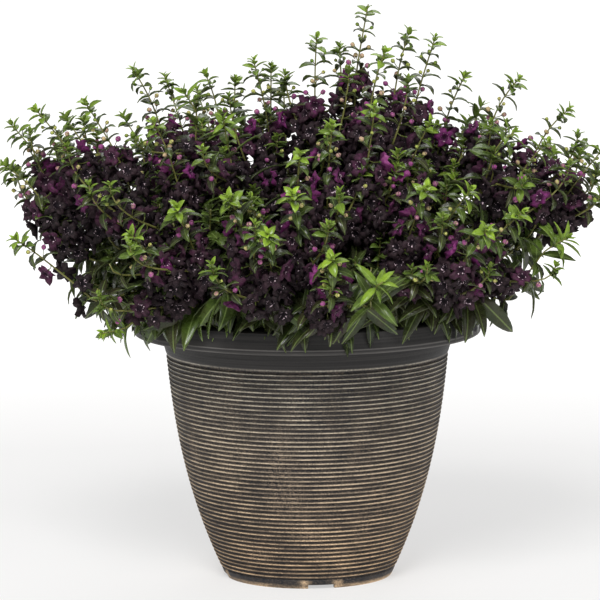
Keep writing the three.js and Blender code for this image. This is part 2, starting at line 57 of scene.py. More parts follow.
# Pot
POT_HEIGHT = 235 * MM
POT_TURNS = 120
WALL = 3 * MM
FOOT_RADIUS = 73.3 * MM
FOOT_RING = 5.3 * MM
FLOOR_UNDERSIDE = 4 * MM
FLOOR_TOP = 7 * MM
BODY_HEIGHT = 194 * MM
BODY_FLARE = 20 * MM
BODY_BELLY = 30 * MM
BELLY_POWER = 2.45
RIB_COUNT = 48
FIRST_RIB = 10.5 * MM
LAST_RIB = 193.7 * MM
RIB_DEPTH = 2 * MM
NECK_BAND = 197.7 * MM
NECK_TOP = 215 * MM
NECK_RADIUS = 127.5 * MM
RIM_RADIUS = 152.5 * MM
NOTCH_COUNT = 4
NOTCH_WIDTH = 23 * MM
NOTCH_HEIGHT = 3.5 * MM
NOTCH_TURN = math.radians(-81.4)
DRAIN_RADIUS = 6 * MM
DRAIN_CIRCLE = 48 * MM

# Where the finish is rubbed thin between the ribs: the turn in degrees, then height, width and
# depth of the patch in millimetres
WORN_PATCHES = [
    (-103, 118, 14, 30),
    (-99, 82, 19, 18),
    (-90, 52, 16, 10),
    (-122, 30, 16, 10),
    (-60, 54, 12, 22),
    (-18, 80, 20, 26),
    (38, 110, 16, 34),
    (84, 60, 24, 20),
    (131, 90, 18, 30),
    (176, 50, 22, 18),
    (-152, 120, 14, 24),
]

# Soil
SOIL_EDGE = 203 * MM
SOIL_DOME = 6 * MM
SOIL_GAP = 0.4 * MM
SOIL_TURNS = 72
SOIL_RINGS = 26
CHIP_COUNT = 240

# Crowns, the woody bases that the stems branch from
INNER_CROWNS = 4
INNER_CIRCLE = 27 * MM
OUTER_CROWNS = 8
OUTER_CIRCLE = 68 * MM
CROWN_RADIUS = 6.5 * MM
CROWN_RISE = 5 * MM
CANOPY_TO_CROWN = 0.29

# How the shoots run: up from the crown, outwards over the rim, then straight along the flowering end
ROOT_DEPTH = 14 * MM
LEAST_RISE = 45 * MM
RISE_SHARE = 0.45
FOOT_SHARE = 0.12
BEND_SHARE = 0.74
BEND_DROP = 60 * MM
LEAN_CENTRE = 200 * MM
OUTER_REACH = 150 * MM
RIM_CLEARANCE = 30 * MM
LEAFY_LENGTH = 48 * MM
TIP_LENGTH = 34 * MM
TIP_LENGTH_RISE = 0.14
LOW_TIP = 290 * MM
WHORL_PITCH = 28 * MM
GOLDEN_TURN = math.radians(137.5)

# How far leaves, flowers and the tips of branches stay inside the solids' box
BOX_MARGIN = 1.5 * MM
TIP_MARGIN = 14 * MM

# Stems: radii at the base and top, and those of thin stalks at their root, middle and end
STEM_BASE = 1.5 * MM
STEM_TOP = 0.6 * MM
STEM_SIDES = 6
STEM_STEP = 7 * MM
STEM_ROWS = 7
WOODY_SHARE = 0.3
BRANCH_BASE = 1.2 * MM
SIDE_SHOOT_TOP = 0.7 * MM
SKIRT_BASE = 1.6 * MM
SKIRT_TOP = 0.9 * MM
BUD_STALK = (0.5 * MM, 0.4 * MM, 0.45 * MM)
FLOWER_STALK = (0.5 * MM, 0.5 * MM, 0.5 * MM)
STALK_SIDES = 3

# Side shoots, by their share of the way up the stem. Their tips are in the shade below a height, where
# their leaves and stems are painted darker as painted shade.
SIDE_SHOOTS = (0.42, 0.6, 0.78)
SHADE_HEIGHT = 270 * MM
SHADE_FADE = 60 * MM
SPIKE_PITCH = 9 * MM

# Leaves, and how far they stay from the soil and the rim that they lie on
LEAF_FOLD = 0.34
LEAF_THICKNESS = 0.05
YOUNG_THICKNESS = 0.09
LEAF_SHRINKS = (1.0, 0.8, 0.6, 0.45)
MOUTH_RADIUS = 118 * MM
SOIL_CLEARANCE = 1.5 * MM
RIM_TOUCH = 1.2 * MM
LEAF_PITCH = 17 * MM
FIRST_LEAF = 34 * MM
STEM_LEAF_LENGTH = 40 * MM
STEM_LEAF_SWELL = 6 * MM
STEM_LEAF_WIDTH = 10.5 * MM
BRACT_WIDTH = 6.5 * MM

# The skirt of large leaves on the rim, painted brighter towards the left as painted light from that side
SKIRT_LEAF_LENGTH = 41 * MM
SKIRT_LEAF_WIDTH = 11.5 * MM
SKIRT_LEAVES = 7
SKIRT_SHOOTS = 64
SKIRT_STRETCH = 0.34
HANGING_SHARE = 0.2
BRIGHT_SIDE = -60 * MM
BRIGHTER_BY = 0.16

# The star of young leaves at a tip: for each pair how far back it grows in millimetres, its share
# of the length and how far it rises
BUD_STAR = [
    (10.5, 1.15, 0.3),
    (7.5, 1.05, 0.5),
    (4.5, 0.9, 0.7),
    (2, 0.7, 0.95),
    (0.5, 0.45, 1.25),
]
LEAFY_STAR = [
    (12, 1.2, 0.1),
    (9, 1.1, 0.3),
    (6, 1.0, 0.5),
    (3.5, 0.85, 0.75),
    (1.5, 0.6, 1.0),
    (0.5, 0.35, 1.25),
]

# Length of a star's leaves on a budding tip, on a side shoot and on leafy shoots by their height
BUD_STAR_LENGTH = 11.5 * MM
SIDE_STAR_LENGTH = 11 * MM
LOW_STAR_LENGTH = 12 * MM
HIGH_STAR_LENGTH = 16 * MM
LEAFY_STAR_LENGTH = 21 * MM
LOW_SHOOT = 240 * MM
HIGH_SHOOT = 380 * MM

# Buds
BUD_PITCH = 9.5 * MM
BUD_SIZE = 5.2 * MM
BUD_SHRINK = 2.9 * MM
BUD_CHANCE = 0.75
LEAST_BUD_CUP = 3.2 * MM

# Flowers, shaped with a radius of 1. The large lower lobe comes first, and the steps of each lobe
# start in the valley before it.
FLOWER_RADIUS = 10.2 * MM
FLOWER_KINDS = 6
FLOWER_CUP = 3.4 * MM
LOBES = 5
LOBE_SIZES = (1.14, 1.0, 0.88, 0.88, 1.0)
PETAL_STEPS = 4
EDGE_STEPS = (0.68, 1.01, 1.02, 1.01)
MIDDLE_STEPS = (0.92, 1.02, 1.04, 1.02)
VEIN_STEPS = (0.0, 1.0, 0.2, 1.0)
THROAT_REACH = 0.3
MIDDLE_REACH = 0.6
FUNNEL_DEPTH = 0.62
THROAT_FLOOR = -0.34
FRILL = 0.11
FLOWERS_A_WHORL = 9
LATE_FLOWERS_A_WHORL = 2

# Older flowers below a head, and how near the middle a head has to stand to have them
FADED_COUNT = 10
FADED_STRETCH = 60 * MM
FADED_REACH = 235 * MM
FADED_SIDE = 170 * MM

# Heads further left than this are darker, and those lower than this have fuller tips
LEFT_HEADS = -140 * MM
LOW_HEAD = 390 * MM

# Tip of each shoot in x, y and z in millimetres, then its number of flower whorls, where 0 is a
# leafy shoot, and for a shoot that hangs, how steeply its end falls
SHOOTS = [
    # left side, from the outermost inwards
    [-258, 25, 396, 2],
    [-262, -30, 366, 2],
    [-232, -50, 416, 3],
    [-214, 62, 400, 2],
    [-188, -82, 425, 3],
    [-250, -70, 306, 2],
    [-175, -100, 228, 0, -0.35],
    [-150, 5, 445, 3],
    [-125, 80, 433, 2],
    [-130, -105, 410, 2],
    [-105, -45, 430, 0],
    [-88, 40, 438, 2],
    [-147, -185, 324, 2],
    [-108, -188, 346, 2],
    # middle, from the back forwards
    [-20, 95, 425, 0],
    [92, 60, 473, 3],
    [55, 10, 500, 3],
    [10, -25, 475, 2],
    [-45, -25, 455, 3],
    [68, -75, 466, 3],
    [112, -30, 474, 3],
    [-70, -95, 410, 0],
    [22, -140, 410, 2],
    [58, -135, 425, 2],
    [-5, -180, 390, 2],
    [-65, -205, 356, 2],
    [-12, -218, 360, 2],
    [-32, -242, 330, 2],
    [20, -244, 310, 2],
    [62, -246, 290, 0],
    # right side, from the inside outwards
    [105, -120, 410, 2],
    [100, -180, 361, 2],
    [138, -150, 355, 2],
    [140, 25, 437, 3],
    [157, 90, 404, 0],
    [185, -10, 436, 2],
    [178, -75, 396, 0],
    [208, -60, 386, 2],
    [182, -135, 334, 2],
    [150, -192, 327, 2],
    [222, -88, 306, 0],
    [232, 40, 405, 2],
    [262, -15, 380, 2],
    # back
    [-222, 120, 360, 2],
    [-165, 140, 392, 2],
    [-172, 196, 325, 2],
    [-98, 142, 415, 2],
    [-70, 222, 335, 2],
    [-22, 178, 388, 2],
    [38, 125, 432, 2],
    [42, 246, 318, 2],
    [-20, 250, 290, 0],
    [92, 182, 384, 2],
    [150, 155, 385, 2],
    [128, 226, 310, 0],
    [222, 112, 360, 2],
    [190, 186, 315, 0],
]

# Shoots, by their place in that list, whose flowers are mostly still to come
LATE_SHOOTS = (5,)

# Lesser spikes: the shoot that each branches from, then its tip in millimetres
LESSER_SPIKES = [
    (0, -236, 40, 366),
    (0, -240, 0, 392),
    (1, -262, -6, 360),
    (3, -196, 60, 398),
    (2, -212, -20, 392),
    (4, -205, -60, 385),
    (8, -96, 60, 414),
    (11, -62, 60, 432),
    (17, -18, 10, 440),
    (18, -30, 30, 446),
    (18, -66, -20, 424),
    (16, 30, 40, 462),
    (19, 88, -50, 440),
    (35, 176, 30, 394),
    (37, 226, -50, 366),
    (38, 212, -96, 284),
    (41, 244, 30, 376),
    (42, 238, 0, 372),
    (42, 258, 20, 350),
    (42, 256, -40, 342),
]

UP = np.array([0.0, 0.0, 1.0])


def unit(v):
    """The same direction with a length of 1."""
    return v / max(np.linalg.norm(v), 1e-12)


def dice(seed):
    """Draws from one seed, the same on every run."""
    state = (seed * 48271 + 11) % 2147483647

    def draw(low, high):
        nonlocal state
        state = state * 16807 % 2147483647
        return low + (high - low) * state / 2147483647

    return draw


# Modelling by hand: what every template and the pot share


def start(primitive, **sizes):
    """Adds a primitive with nothing else selected and returns its object."""
    bpy.ops.object.select_all(action="DESELECT")
    primitive(**sizes)
    return bpy.context.object


def pick(obj, chosen):
    """Selects in edit mode the vertices that the rule chooses."""
    bpy.ops.object.mode_set(mode="EDIT")
    bpy.ops.mesh.select_mode(type="VERT")
    bpy.ops.mesh.select_all(action="DESELECT")
    bpy.ops.object.mode_set(mode="OBJECT")
    for v in obj.data.vertices:
        v.select = bool(chosen(v.co))
    bpy.ops.object.mode_set(mode="EDIT")


def pull_edge(scale, lift):
    """Extrudes the selected ring of edges, then scales it and lifts it."""
    bpy.ops.mesh.extrude_edges_move()
    bpy.ops.transform.resize(value=(scale, scale, 1))
    bpy.ops.transform.translate(value=(0, 0, lift))


def finish_modifiers(obj):
    """Applies what the active object's modifiers do."""
    for modifier in list(obj.modifiers):
        bpy.ops.object.modifier_apply(modifier=modifier.name)


def points_of(obj):
    """An object's points, one to a row."""
    co = np.zeros(len(obj.data.vertices) * 3)
    obj.data.vertices.foreach_get("co", co)
    return co.reshape(-1, 3)


def put_points(obj, points):
    """Moves an object's points to new places."""
    obj.data.vertices.foreach_set("co", np.asarray(points, dtype=float).ravel())
    obj.data.update()


class Shape:
    """A modelled template as arrays, ready to be copied."""

    def __init__(self, obj, **values):
        mesh = obj.data
        self.points = points_of(obj)
        self.corners = np.zeros(len(mesh.loops), dtype=np.int32)
        mesh.loops.foreach_get("vertex_index", self.corners)
        self.starts = np.zeros(len(mesh.polygons), dtype=np.int32)
        mesh.polygons.foreach_get("loop_start", self.starts)
        self.values = values
        bpy.data.objects.remove(obj)


class Bunch:
    """Gathers copies of the templates into one piece, each copy with its own mesh in it."""

    def __init__(self, *names):
        self.names = names
        self.points, self.corners, self.starts = [], [], []
        self.values = {name: [] for name in names}
        self.count = 0
        self.corner_count = 0

    def add(self, points, corners, starts, **values):
        """Adds one copy, with values for its points. A value that isn't given is 0."""
        self.points.append(points)
        self.corners.append(corners + self.count)
        self.starts.append(starts + self.corner_count)
        for name in self.names:
            self.values[name].append(np.broadcast_to(values.get(name, 0.0), len(points)))
        self.count += len(points)
        self.corner_count += len(corners)

    def piece(self, name, material, slot, *nodes):
        """Makes the piece from all that was added."""
        mesh = bpy.data.meshes.new(name)
        points = np.concatenate(self.points)
        corners = np.concatenate(self.corners)
        starts = np.concatenate(self.starts)
        mesh.vertices.add(len(points))
        mesh.vertices.foreach_set("co", points.ravel())
        mesh.loops.add(len(corners))
        mesh.loops.foreach_set("vertex_index", corners)
        mesh.polygons.add(len(starts))
        mesh.polygons.foreach_set("loop_start", starts)
        mesh.update(calc_edges=True)
        mesh.validate()
        for value in self.names:
            layer = mesh.attributes.new(value, "FLOAT", "POINT")
            layer.data.foreach_set("value", np.concatenate(self.values[value]))
        mesh.shade_smooth()
        obj = bpy.data.objects.new(name, mesh)
        bpy.context.scene.collection.objects.link(obj)
        dress(obj, material, slot, *nodes)
        return obj


def dress(obj, material, slot, *nodes):
    """Gives a piece its finish, puts it under the root body and hides the parts of the model that it stands
    for.
    """
    obj.data.materials.clear()
    obj.data.materials.append(material)
    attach(obj, "root")
    if nodes:
        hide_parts(*nodes)


# Finishes


class Finish:
    """A material's nodes, added one after another."""

    def __init__(self, name, **sockets):
        self.material = bpy.data.materials.new(name)
        self.material.use_nodes = True
        self.nodes = self.material.node_tree.nodes
        self.links = self.material.node_tree.links
        self.shader = self.nodes["Principled BSDF"]
        for socket, value in sockets.items():
            self.shader.inputs[socket.replace("_", " ")].default_value = value

    def link(self, value, socket):
        """Gives a socket a fixed value or the output of another node."""
        if isinstance(value, (int, float, tuple)):
            socket.default_value = value
        else:
            self.links.new(value, socket)

    def attribute(self, name):
        """A value that the piece stores at each of its points."""
        node = self.nodes.new("ShaderNodeAttribute")
        node.attribute_name = name
        return node.outputs["Fac"]

    def place(self, stretch=(1, 1, 1)):
        """The place on the object, stretched for patterns that run one way."""
        coordinates = self.nodes.new("ShaderNodeTexCoord")
        mapping = self.nodes.new("ShaderNodeMapping")
        mapping.inputs["Scale"].default_value = stretch
        self.links.new(coordinates.outputs["Object"], mapping.inputs["Vector"])
        return mapping.outputs["Vector"]

    def height(self):
        """The height above the ground."""
        apart = self.nodes.new("ShaderNodeSeparateXYZ")
        self.links.new(self.place(), apart.inputs["Vector"])
        return apart.outputs["Z"]

    def noise(self, scale, stretch=(1, 1, 1), detail=3.0, roughness=0.5):
        """A cloudy pattern, finer for a larger scale."""
        node = self.nodes.new("ShaderNodeTexNoise")
        node.inputs["Scale"].default_value = scale
        node.inputs["Detail"].default_value = detail
        node.inputs["Roughness"].default_value = roughness
        self.links.new(self.place(stretch), node.inputs["Vector"])
        return node.outputs["Fac"]

    def math(self, operation, first, second=0.0):
        """A sum, product or the like of two values."""
        node = self.nodes.new("ShaderNodeMath")
        node.operation = operation
        self.link(first, node.inputs[0])
        self.link(second, node.inputs[1])
        return node.outputs["Value"]

    def band(self, value, low, high, bottom=0.0, top=1.0):
        """Maps a value from low..high to bottom..top, clamped."""
        node = self.nodes.new("ShaderNodeMapRange")
        self.link(value, node.inputs["Value"])
        node.inputs["From Min"].default_value = low
        node.inputs["From Max"].default_value = high
        node.inputs["To Min"].default_value = bottom
        node.inputs["To Max"].default_value = top
        return node.outputs["Result"]

    def ramp(self, value, *stops):
        """A colour for each value, blended between the stops."""
        node = self.nodes.new("ShaderNodeValToRGB")
        elements = node.color_ramp.elements
        while len(elements) < len(stops):
            elements.new(0.5)
        for element, (position, colour) in zip(elements, stops):
            element.position = position
            element.color = colour
        self.link(value, node.inputs["Fac"])
        return node.outputs["Color"]

    def mix(self, factor, first, second):
        """The first colour where the factor is 0 and the second where it is 1."""
        node = self.nodes.new("ShaderNodeMix")
        node.data_type = "RGBA"
        self.link(factor, node.inputs["Factor"])
        colours = [socket for socket in node.inputs if socket.type == "RGBA"]
        self.link(first, colours[0])
        self.link(second, colours[1])
        return next(socket for socket in node.outputs if socket.type == "RGBA")

    def bump(self, height, strength, distance):
        """Shades the surface as if it rose and fell with the height."""
        node = self.nodes.new("ShaderNodeBump")
        node.inputs["Strength"].default_value = strength
        node.inputs["Distance"].default_value = distance
        self.link(height, node.inputs["Height"])
        self.links.new(node.outputs["Normal"], self.shader.inputs["Normal"])

    def colour(self, value):
        self.link(value, self.shader.inputs["Base Color"])

    def roughness(self, value):
        self.link(value, self.shader.inputs["Roughness"])


def rgb(*shown):
    """A linear colour from one as a screen shows it, 0 to 255."""
    linear = [((c / 255 + 0.055) / 1.055) ** 2.4 if c > 10 else c / 255 / 12.92 for c in shown]
    return (*linear, 1.0)


def copper_finish():
    """Charcoal plastic, rubbed with copper along the rib crests and in worn patches."""
    finish = Finish("rubbed_copper_plastic", Metallic=0.0, Specular_IOR_Level=0.3)
    crest = finish.attribute("crest")
    worn = finish.attribute("worn")
    grain = finish.noise(900, detail=2.0)
    patches = finish.noise(17, stretch=(1, 1, 0.4), detail=5.0, roughness=0.65)
    streaks = finish.noise(70, stretch=(1, 1, 0.16), detail=4.0, roughness=0.6)
    hoops = finish.noise(24, stretch=(0.3, 0.3, 26), detail=3.0)
    runs = finish.noise(30, stretch=(0.8, 0.8, 9), detail=3.0)
    height = finish.band(finish.height(), 0.02, 0.19)
    dark = finish.mix(finish.band(streaks, 0.42, 0.68), rgb(29, 30, 35), rgb(52, 48, 47))
    rub = finish.math("MAXIMUM", finish.band(patches, 0.46, 0.64, 0.24, 0.6), worn)
    speckle = finish.math("MULTIPLY", finish.band(grain, 0.5, 0.62), rub)
    dark = finish.mix(speckle, dark, rgb(134, 118, 102))
    wear = finish.math("MULTIPLY", crest, finish.band(patches, 0.3, 0.58, 0.5, 1.0))
    wear = finish.math("MULTIPLY", wear, finish.band(runs, 0.38, 0.6, 0.36, 1.05))
    wear = finish.math("MULTIPLY", wear, finish.band(grain, 0.34, 0.6, 0.4, 1.25))
    copper = finish.mix(height, rgb(232, 198, 158), rgb(202, 194, 176))
    body = finish.mix(finish.math("MINIMUM", wear, 1.0), dark, copper)
    smooth = finish.mix(finish.band(hoops, 0.36, 0.7), rgb(34, 33, 33), rgb(54, 52, 51))
    # Painted highlights, partly wear too: light lines along the rim's two edges, broken up by the streaks
    edges = finish.math("MULTIPLY", crest, finish.band(hoops, 0.3, 0.7, 0.15, 0.5))
    rim = finish.mix(edges, smooth, rgb(150, 146, 142))
    finish.colour(finish.mix(finish.attribute("smooth"), body, rim))
    finish.roughness(finish.band(grain, 0.3, 0.7, 0.5, 0.68))
    finish.bump(grain, 0.3, 0.0004)
    return finish.material


def soil_finish():
    """Dark potting mix with paler chips of bark."""
    finish = Finish("potting_mix", Roughness=0.95, Specular_IOR_Level=0.15)
    lumps = finish.noise(260, detail=5.0, roughness=0.7)
    fine = finish.noise(1400, detail=2.0)
    ground = finish.ramp(lumps, (0.3, rgb(24, 17, 12)), (0.5, rgb(54, 38, 27)), (0.7, rgb(84, 62, 45)))
    finish.colour(finish.mix(finish.attribute("chip"), ground, rgb(104, 80, 58)))
    finish.bump(fine, 0.6, 0.001)
    return finish.material


def leaf_finish():
    """Glossy leaves from dark and full-grown to bright and young, with painted light and shade added to
    that scale, and the stems.
    """
    finish = Finish("angelonia_leaf", Specular_IOR_Level=0.35)
    # The young value carries painted light and shade as well as age: higher on lit side shoots and the left
    # of the skirt, lower on shaded side shoots
    young = finish.attribute("young")
    mottle = finish.noise(220, detail=3.0)
    tone = finish.math("ADD", young, finish.band(mottle, 0.3, 0.7, -0.07, 0.07))
    blade = finish.ramp(
        tone,
        (0.0, rgb(28, 36, 17)),
        (0.3, rgb(48, 61, 28)),
        (0.6, rgb(88, 112, 42)),
        (1.0, rgb(154, 188, 54)),
    )
    weathered = finish.band(finish.noise(45, detail=2.0), 0.4, 0.64, 0.0, 0.6)
    weathered = finish.math("MULTIPLY", weathered, finish.band(young, 0.25, 0.6, 1.0, 0.2))
    blade = finish.mix(weathered, blade, rgb(66, 60, 43))
    vein = finish.band(finish.attribute("rib"), 0.0, 0.13, 1.0, 0.0)
    blade = finish.mix(finish.math("MULTIPLY", vein, 0.55), blade, rgb(142, 164, 92))
    blade = finish.mix(finish.math("MULTIPLY", finish.attribute("under"), 0.45), blade, rgb(98, 110, 66))
    blade = finish.mix(finish.attribute("stem"), blade, rgb(116, 116, 62))
    blade = finish.mix(finish.attribute("wood"), blade, rgb(84, 64, 40))
    finish.colour(blade)
    finish.roughness(finish.band(mottle, 0.3, 0.7, 0.2, 0.34))
    finish.bump(vein, 0.3, 0.0006)
    return finish.material


def petal_finish():
    """Buds from green to mauve and petals from magenta to near-black plum, by their age."""
    finish = Finish("angelonia_petal", Specular_IOR_Level=0.12, Sheen_Weight=0.04, Sheen_Roughness=0.4)
    finish.shader.inputs["Sheen Tint"].default_value = rgb(170, 120, 175)
    mottle = finish.noise(420, detail=3.0)
    grain = finish.noise(1300, detail=2.0)
    age = finish.math("ADD", finish.attribute("age"), finish.band(mottle, 0.3, 0.7, -0.07, 0.07))
    petal = finish.ramp(
        age,
        (0.0, rgb(98, 128, 48)),
        (0.14, rgb(178, 182, 98)),
        (0.26, rgb(194, 164, 136)),
        (0.36, rgb(158, 88, 136)),
        (0.5, rgb(120, 40, 106)),
        (0.6, rgb(74, 36, 61)),
        (0.74, rgb(45, 32, 37)),
        (1.0, rgb(29, 26, 26)),
    )
    reach = finish.attribute("reach")
    grown = finish.band(finish.attribute("age"), 0.42, 0.5)
    veins = finish.math("MULTIPLY", finish.attribute("vein"), finish.band(grain, 0.4, 0.62, 0.0, 0.4))
    petal = finish.mix(finish.math("MULTIPLY", veins, grown), petal, rgb(96, 76, 82))
    # Partly the flower's own dark throat and partly painted shade: the hollow and the inner half of the
    # petals are painted nearly black
    throat = finish.math("MULTIPLY", finish.band(reach, 0.15, 0.6, 1.0, 0.0), grown)
    petal = finish.mix(finish.math("MULTIPLY", throat, 0.85), petal, rgb(16, 8, 17))
    ring = finish.math("MULTIPLY", finish.band(reach, 0.2, 0.28), finish.band(reach, 0.36, 0.46, 1.0, 0.0))
    flecks = finish.math("MULTIPLY", ring, finish.band(finish.noise(700, detail=1.0), 0.61, 0.65))
    finish.colour(finish.mix(finish.math("MULTIPLY", flecks, grown), petal, rgb(214, 190, 200)))
    finish.roughness(finish.band(mottle, 0.3, 0.7, 0.5, 0.68))
    finish.bump(grain, 0.5, 0.0008)
    return finish.material


# Pot


def body_radius(z):
    """Radius of the rib crests at a height, a straight flare with a belly low down."""
    h = min(z / BODY_HEIGHT, 1)
    return FOOT_RADIUS + BODY_FLARE * h + BODY_BELLY * (1 - (1 - h) ** BELLY_POWER)


def inner_radius(z):
    """Radius of the pot's smooth inside at a height."""
    return body_radius(z) - RIB_DEPTH - WALL


def rib_heights():
    """Height of each rib's crest, from the foot up."""
    pitch = (LAST_RIB - FIRST_RIB) / (RIB_COUNT - 1)
    return [FIRST_RIB + i * pitch for i in range(RIB_COUNT)]


def rib_profile():
    """A narrow rounded crest over a wide flat groove, for every rib."""
    pitch = (LAST_RIB - FIRST_RIB) / (RIB_COUNT - 1)
    steps = [(-0.5, 1.0), (-0.24, 0.8), (-0.08, 0.06), (0.08, 0.06), (0.24, 0.8)]
    for crest in rib_heights():
        for share, depth in steps:
            z = crest + share * pitch
            yield body_radius(z) - depth * RIB_DEPTH * 0.85, z


def pot_profile():
    """The pot's section as radius and height, from the middle of its underside round to the floor."""
    skirt = RIM_RADIUS - 1 * MM
    outside = [
        (0, FLOOR_UNDERSIDE),
        (FOOT_RADIUS - FOOT_RING - 1 * MM, FLOOR_UNDERSIDE),
        (FOOT_RADIUS - FOOT_RING, 0.4 * MM),
        (FOOT_RADIUS - FOOT_RING + 0.5 * MM, 0),
        (FOOT_RADIUS - 0.5 * MM, 0),
        (FOOT_RADIUS, 0.6 * MM),
        (body_radius(4 * MM) - 0.2 * MM, 4 * MM),
        (body_radius(7 * MM) - 0.4 * MM, 7 * MM),
        *rib_profile(),
    ]
    neck = [
        (body_radius(BODY_HEIGHT) - 1.6 * MM, 195.4 * MM),
        (body_radius(BODY_HEIGHT) - 0.3 * MM, 196.6 * MM),
        (body_radius(BODY_HEIGHT), NECK_BAND),
        (body_radius(BODY_HEIGHT) + 0.6 * MM, 199 * MM),
        (NECK_RADIUS - 1.6 * MM, 206 * MM),
        (NECK_RADIUS, NECK_TOP),
        (NECK_RADIUS, POT_HEIGHT - WALL),
    ]
    rim = [
        (skirt - WALL, POT_HEIGHT - WALL),
        (skirt - WALL, NECK_TOP + 0.4 * MM),
        (skirt - WALL + 0.6 * MM, NECK_TOP),
        (skirt - 0.6 * MM, NECK_TOP),
        (skirt, NECK_TOP + 0.6 * MM),
        (skirt, NECK_TOP + 2.2 * MM),
        (RIM_RADIUS - 0.3 * MM, NECK_TOP + 3.4 * MM),
        (RIM_RADIUS, NECK_TOP + 4.2 * MM),
        (RIM_RADIUS - 0.3 * MM, NECK_TOP + 5.2 * MM),
        (RIM_RADIUS - 0.7 * MM, POT_HEIGHT - 5 * MM),
        (RIM_RADIUS - 1.3 * MM, POT_HEIGHT - 1.6 * MM),
        (RIM_RADIUS - 3.0 * MM, POT_HEIGHT - 0.3 * MM),
        (RIM_RADIUS - 5.0 * MM, POT_HEIGHT),
        (NECK_RADIUS - WALL + 1.5 * MM, POT_HEIGHT),
        (NECK_RADIUS - WALL, POT_HEIGHT - 1.2 * MM),
    ]
    inside = [(inner_radius(z), z) for z in (NECK_TOP, SOIL_EDGE, 120 * MM, 55 * MM, FLOOR_TOP)]
    return [*outside, *neck, *rim, *inside, (0, FLOOR_TOP)]


def drawn_line(name, profile):
    """A line of edges in the XZ plane, to be spun round the pot's axis."""
    mesh = bpy.data.meshes.new(name)
    points = [(r, 0, z) for r, z in profile]
    mesh.from_pydata(points, [(i, i + 1) for i in range(len(points) - 1)], [])
    obj = bpy.data.objects.new(name, mesh)
    bpy.context.scene.collection.objects.link(obj)
    bpy.ops.object.select_all(action="DESELECT")
    obj.select_set(True)
    bpy.context.view_layer.objects.active = obj
    return obj


def spin_round(turns):
    """Spins the active line about the pot's axis into a closed skin."""
    bpy.ops.object.mode_set(mode="EDIT")
    bpy.ops.mesh.select_all(action="SELECT")
    bpy.ops.mesh.spin(steps=turns, angle=2 * math.pi, center=(0, 0, 0), axis=(0, 0, 1))
    bpy.ops.mesh.select_all(action="SELECT")
    bpy.ops.mesh.remove_doubles(threshold=0.02 * MM)
    bpy.ops.mesh.normals_make_consistent(inside=False)
    bpy.ops.object.mode_set(mode="OBJECT")


def foot_cutters():
    """The notches under the foot ring and the drain holes in the floor, as one cutting body."""
    cutters = []
    for i in range(NOTCH_COUNT):
        turn = NOTCH_TURN + i * 2 * math.pi / NOTCH_COUNT
        middle = FOOT_RADIUS - FOOT_RING / 2
        cutters.append(start(
            bpy.ops.mesh.primitive_cube_add,
            size=1,
            location=(middle * math.cos(turn), middle * math.sin(turn), 0),
            rotation=(0, 0, turn),
            scale=(3 * FOOT_RING, NOTCH_WIDTH, 2 * NOTCH_HEIGHT),
        ))
        drain = turn + math.pi / NOTCH_COUNT
        cutters.append(start(
            bpy.ops.mesh.primitive_cylinder_add,
            vertices=24,
            radius=DRAIN_RADIUS,
            depth=20 * MM,
            location=(DRAIN_CIRCLE * math.cos(drain), DRAIN_CIRCLE * math.sin(drain), 5 * MM),
        ))
    for cutter in cutters:
        cutter.select_set(True)
    bpy.context.view_layer.objects.active = cutters[0]
    bpy.ops.object.join()
    return cutters[0]


def fine_line(distance, width, strength=1.1):
    """How strongly a fine line shows at a distance from its middle, from 1 down to 0."""
    return np.clip(strength - np.abs(distance) / width, 0, 1)


def crest_marks(turn, radius, z):
    """The raised places that are rubbed to copper: ribs, bands and the foot. The light lines on the rim's
    two edges are partly wear and partly painted highlights.
    """
    outside = radius > np.array([inner_radius(h) + 0.5 * WALL for h in z])
    on_rim = radius > RIM_RADIUS - 2.5 * MM
    nearest_rib = np.abs(z[:, None] - np.array(rib_heights())[None, :]).min(axis=1)
    quarter = 2 * math.pi / NOTCH_COUNT
    notch_turn = (turn - NOTCH_TURN + quarter / 2) % quarter - quarter / 2
    from_notch = np.abs(notch_turn) * FOOT_RADIUS - NOTCH_WIDTH / 2
    return np.maximum.reduce([
        fine_line(nearest_rib, 0.6 * MM, 1.5) * outside,
        fine_line(z - NECK_BAND, 0.8 * MM) * outside * 0.8,
        # Painted highlights, partly wear too: the light lines on the rim's lower edge and on its bead
        fine_line(z - NECK_TOP - 0.6 * MM, 0.5 * MM) * on_rim,
        fine_line(z - NECK_TOP - 4.2 * MM, 0.6 * MM) * on_rim,
        fine_line(z, 2 * MM, 1.2) * outside,
        fine_line(from_notch - 3 * MM, 4 * MM, 1.2) * (z < 7.5 * MM) * outside,
    ])


def worn_marks(turn, radius, z):
    """The patches where the finish is rubbed thin, each fading out from its middle."""
    worn = np.zeros(len(z))
    for degrees, height, wide, high in WORN_PATCHES:
        apart = (turn - math.radians(degrees) + math.pi) % (2 * math.pi) - math.pi
        worn += np.exp(-((apart * radius / (wide * MM)) ** 2) - ((z - height * MM) / (high * MM)) ** 2)
    return np.minimum(worn, 1)


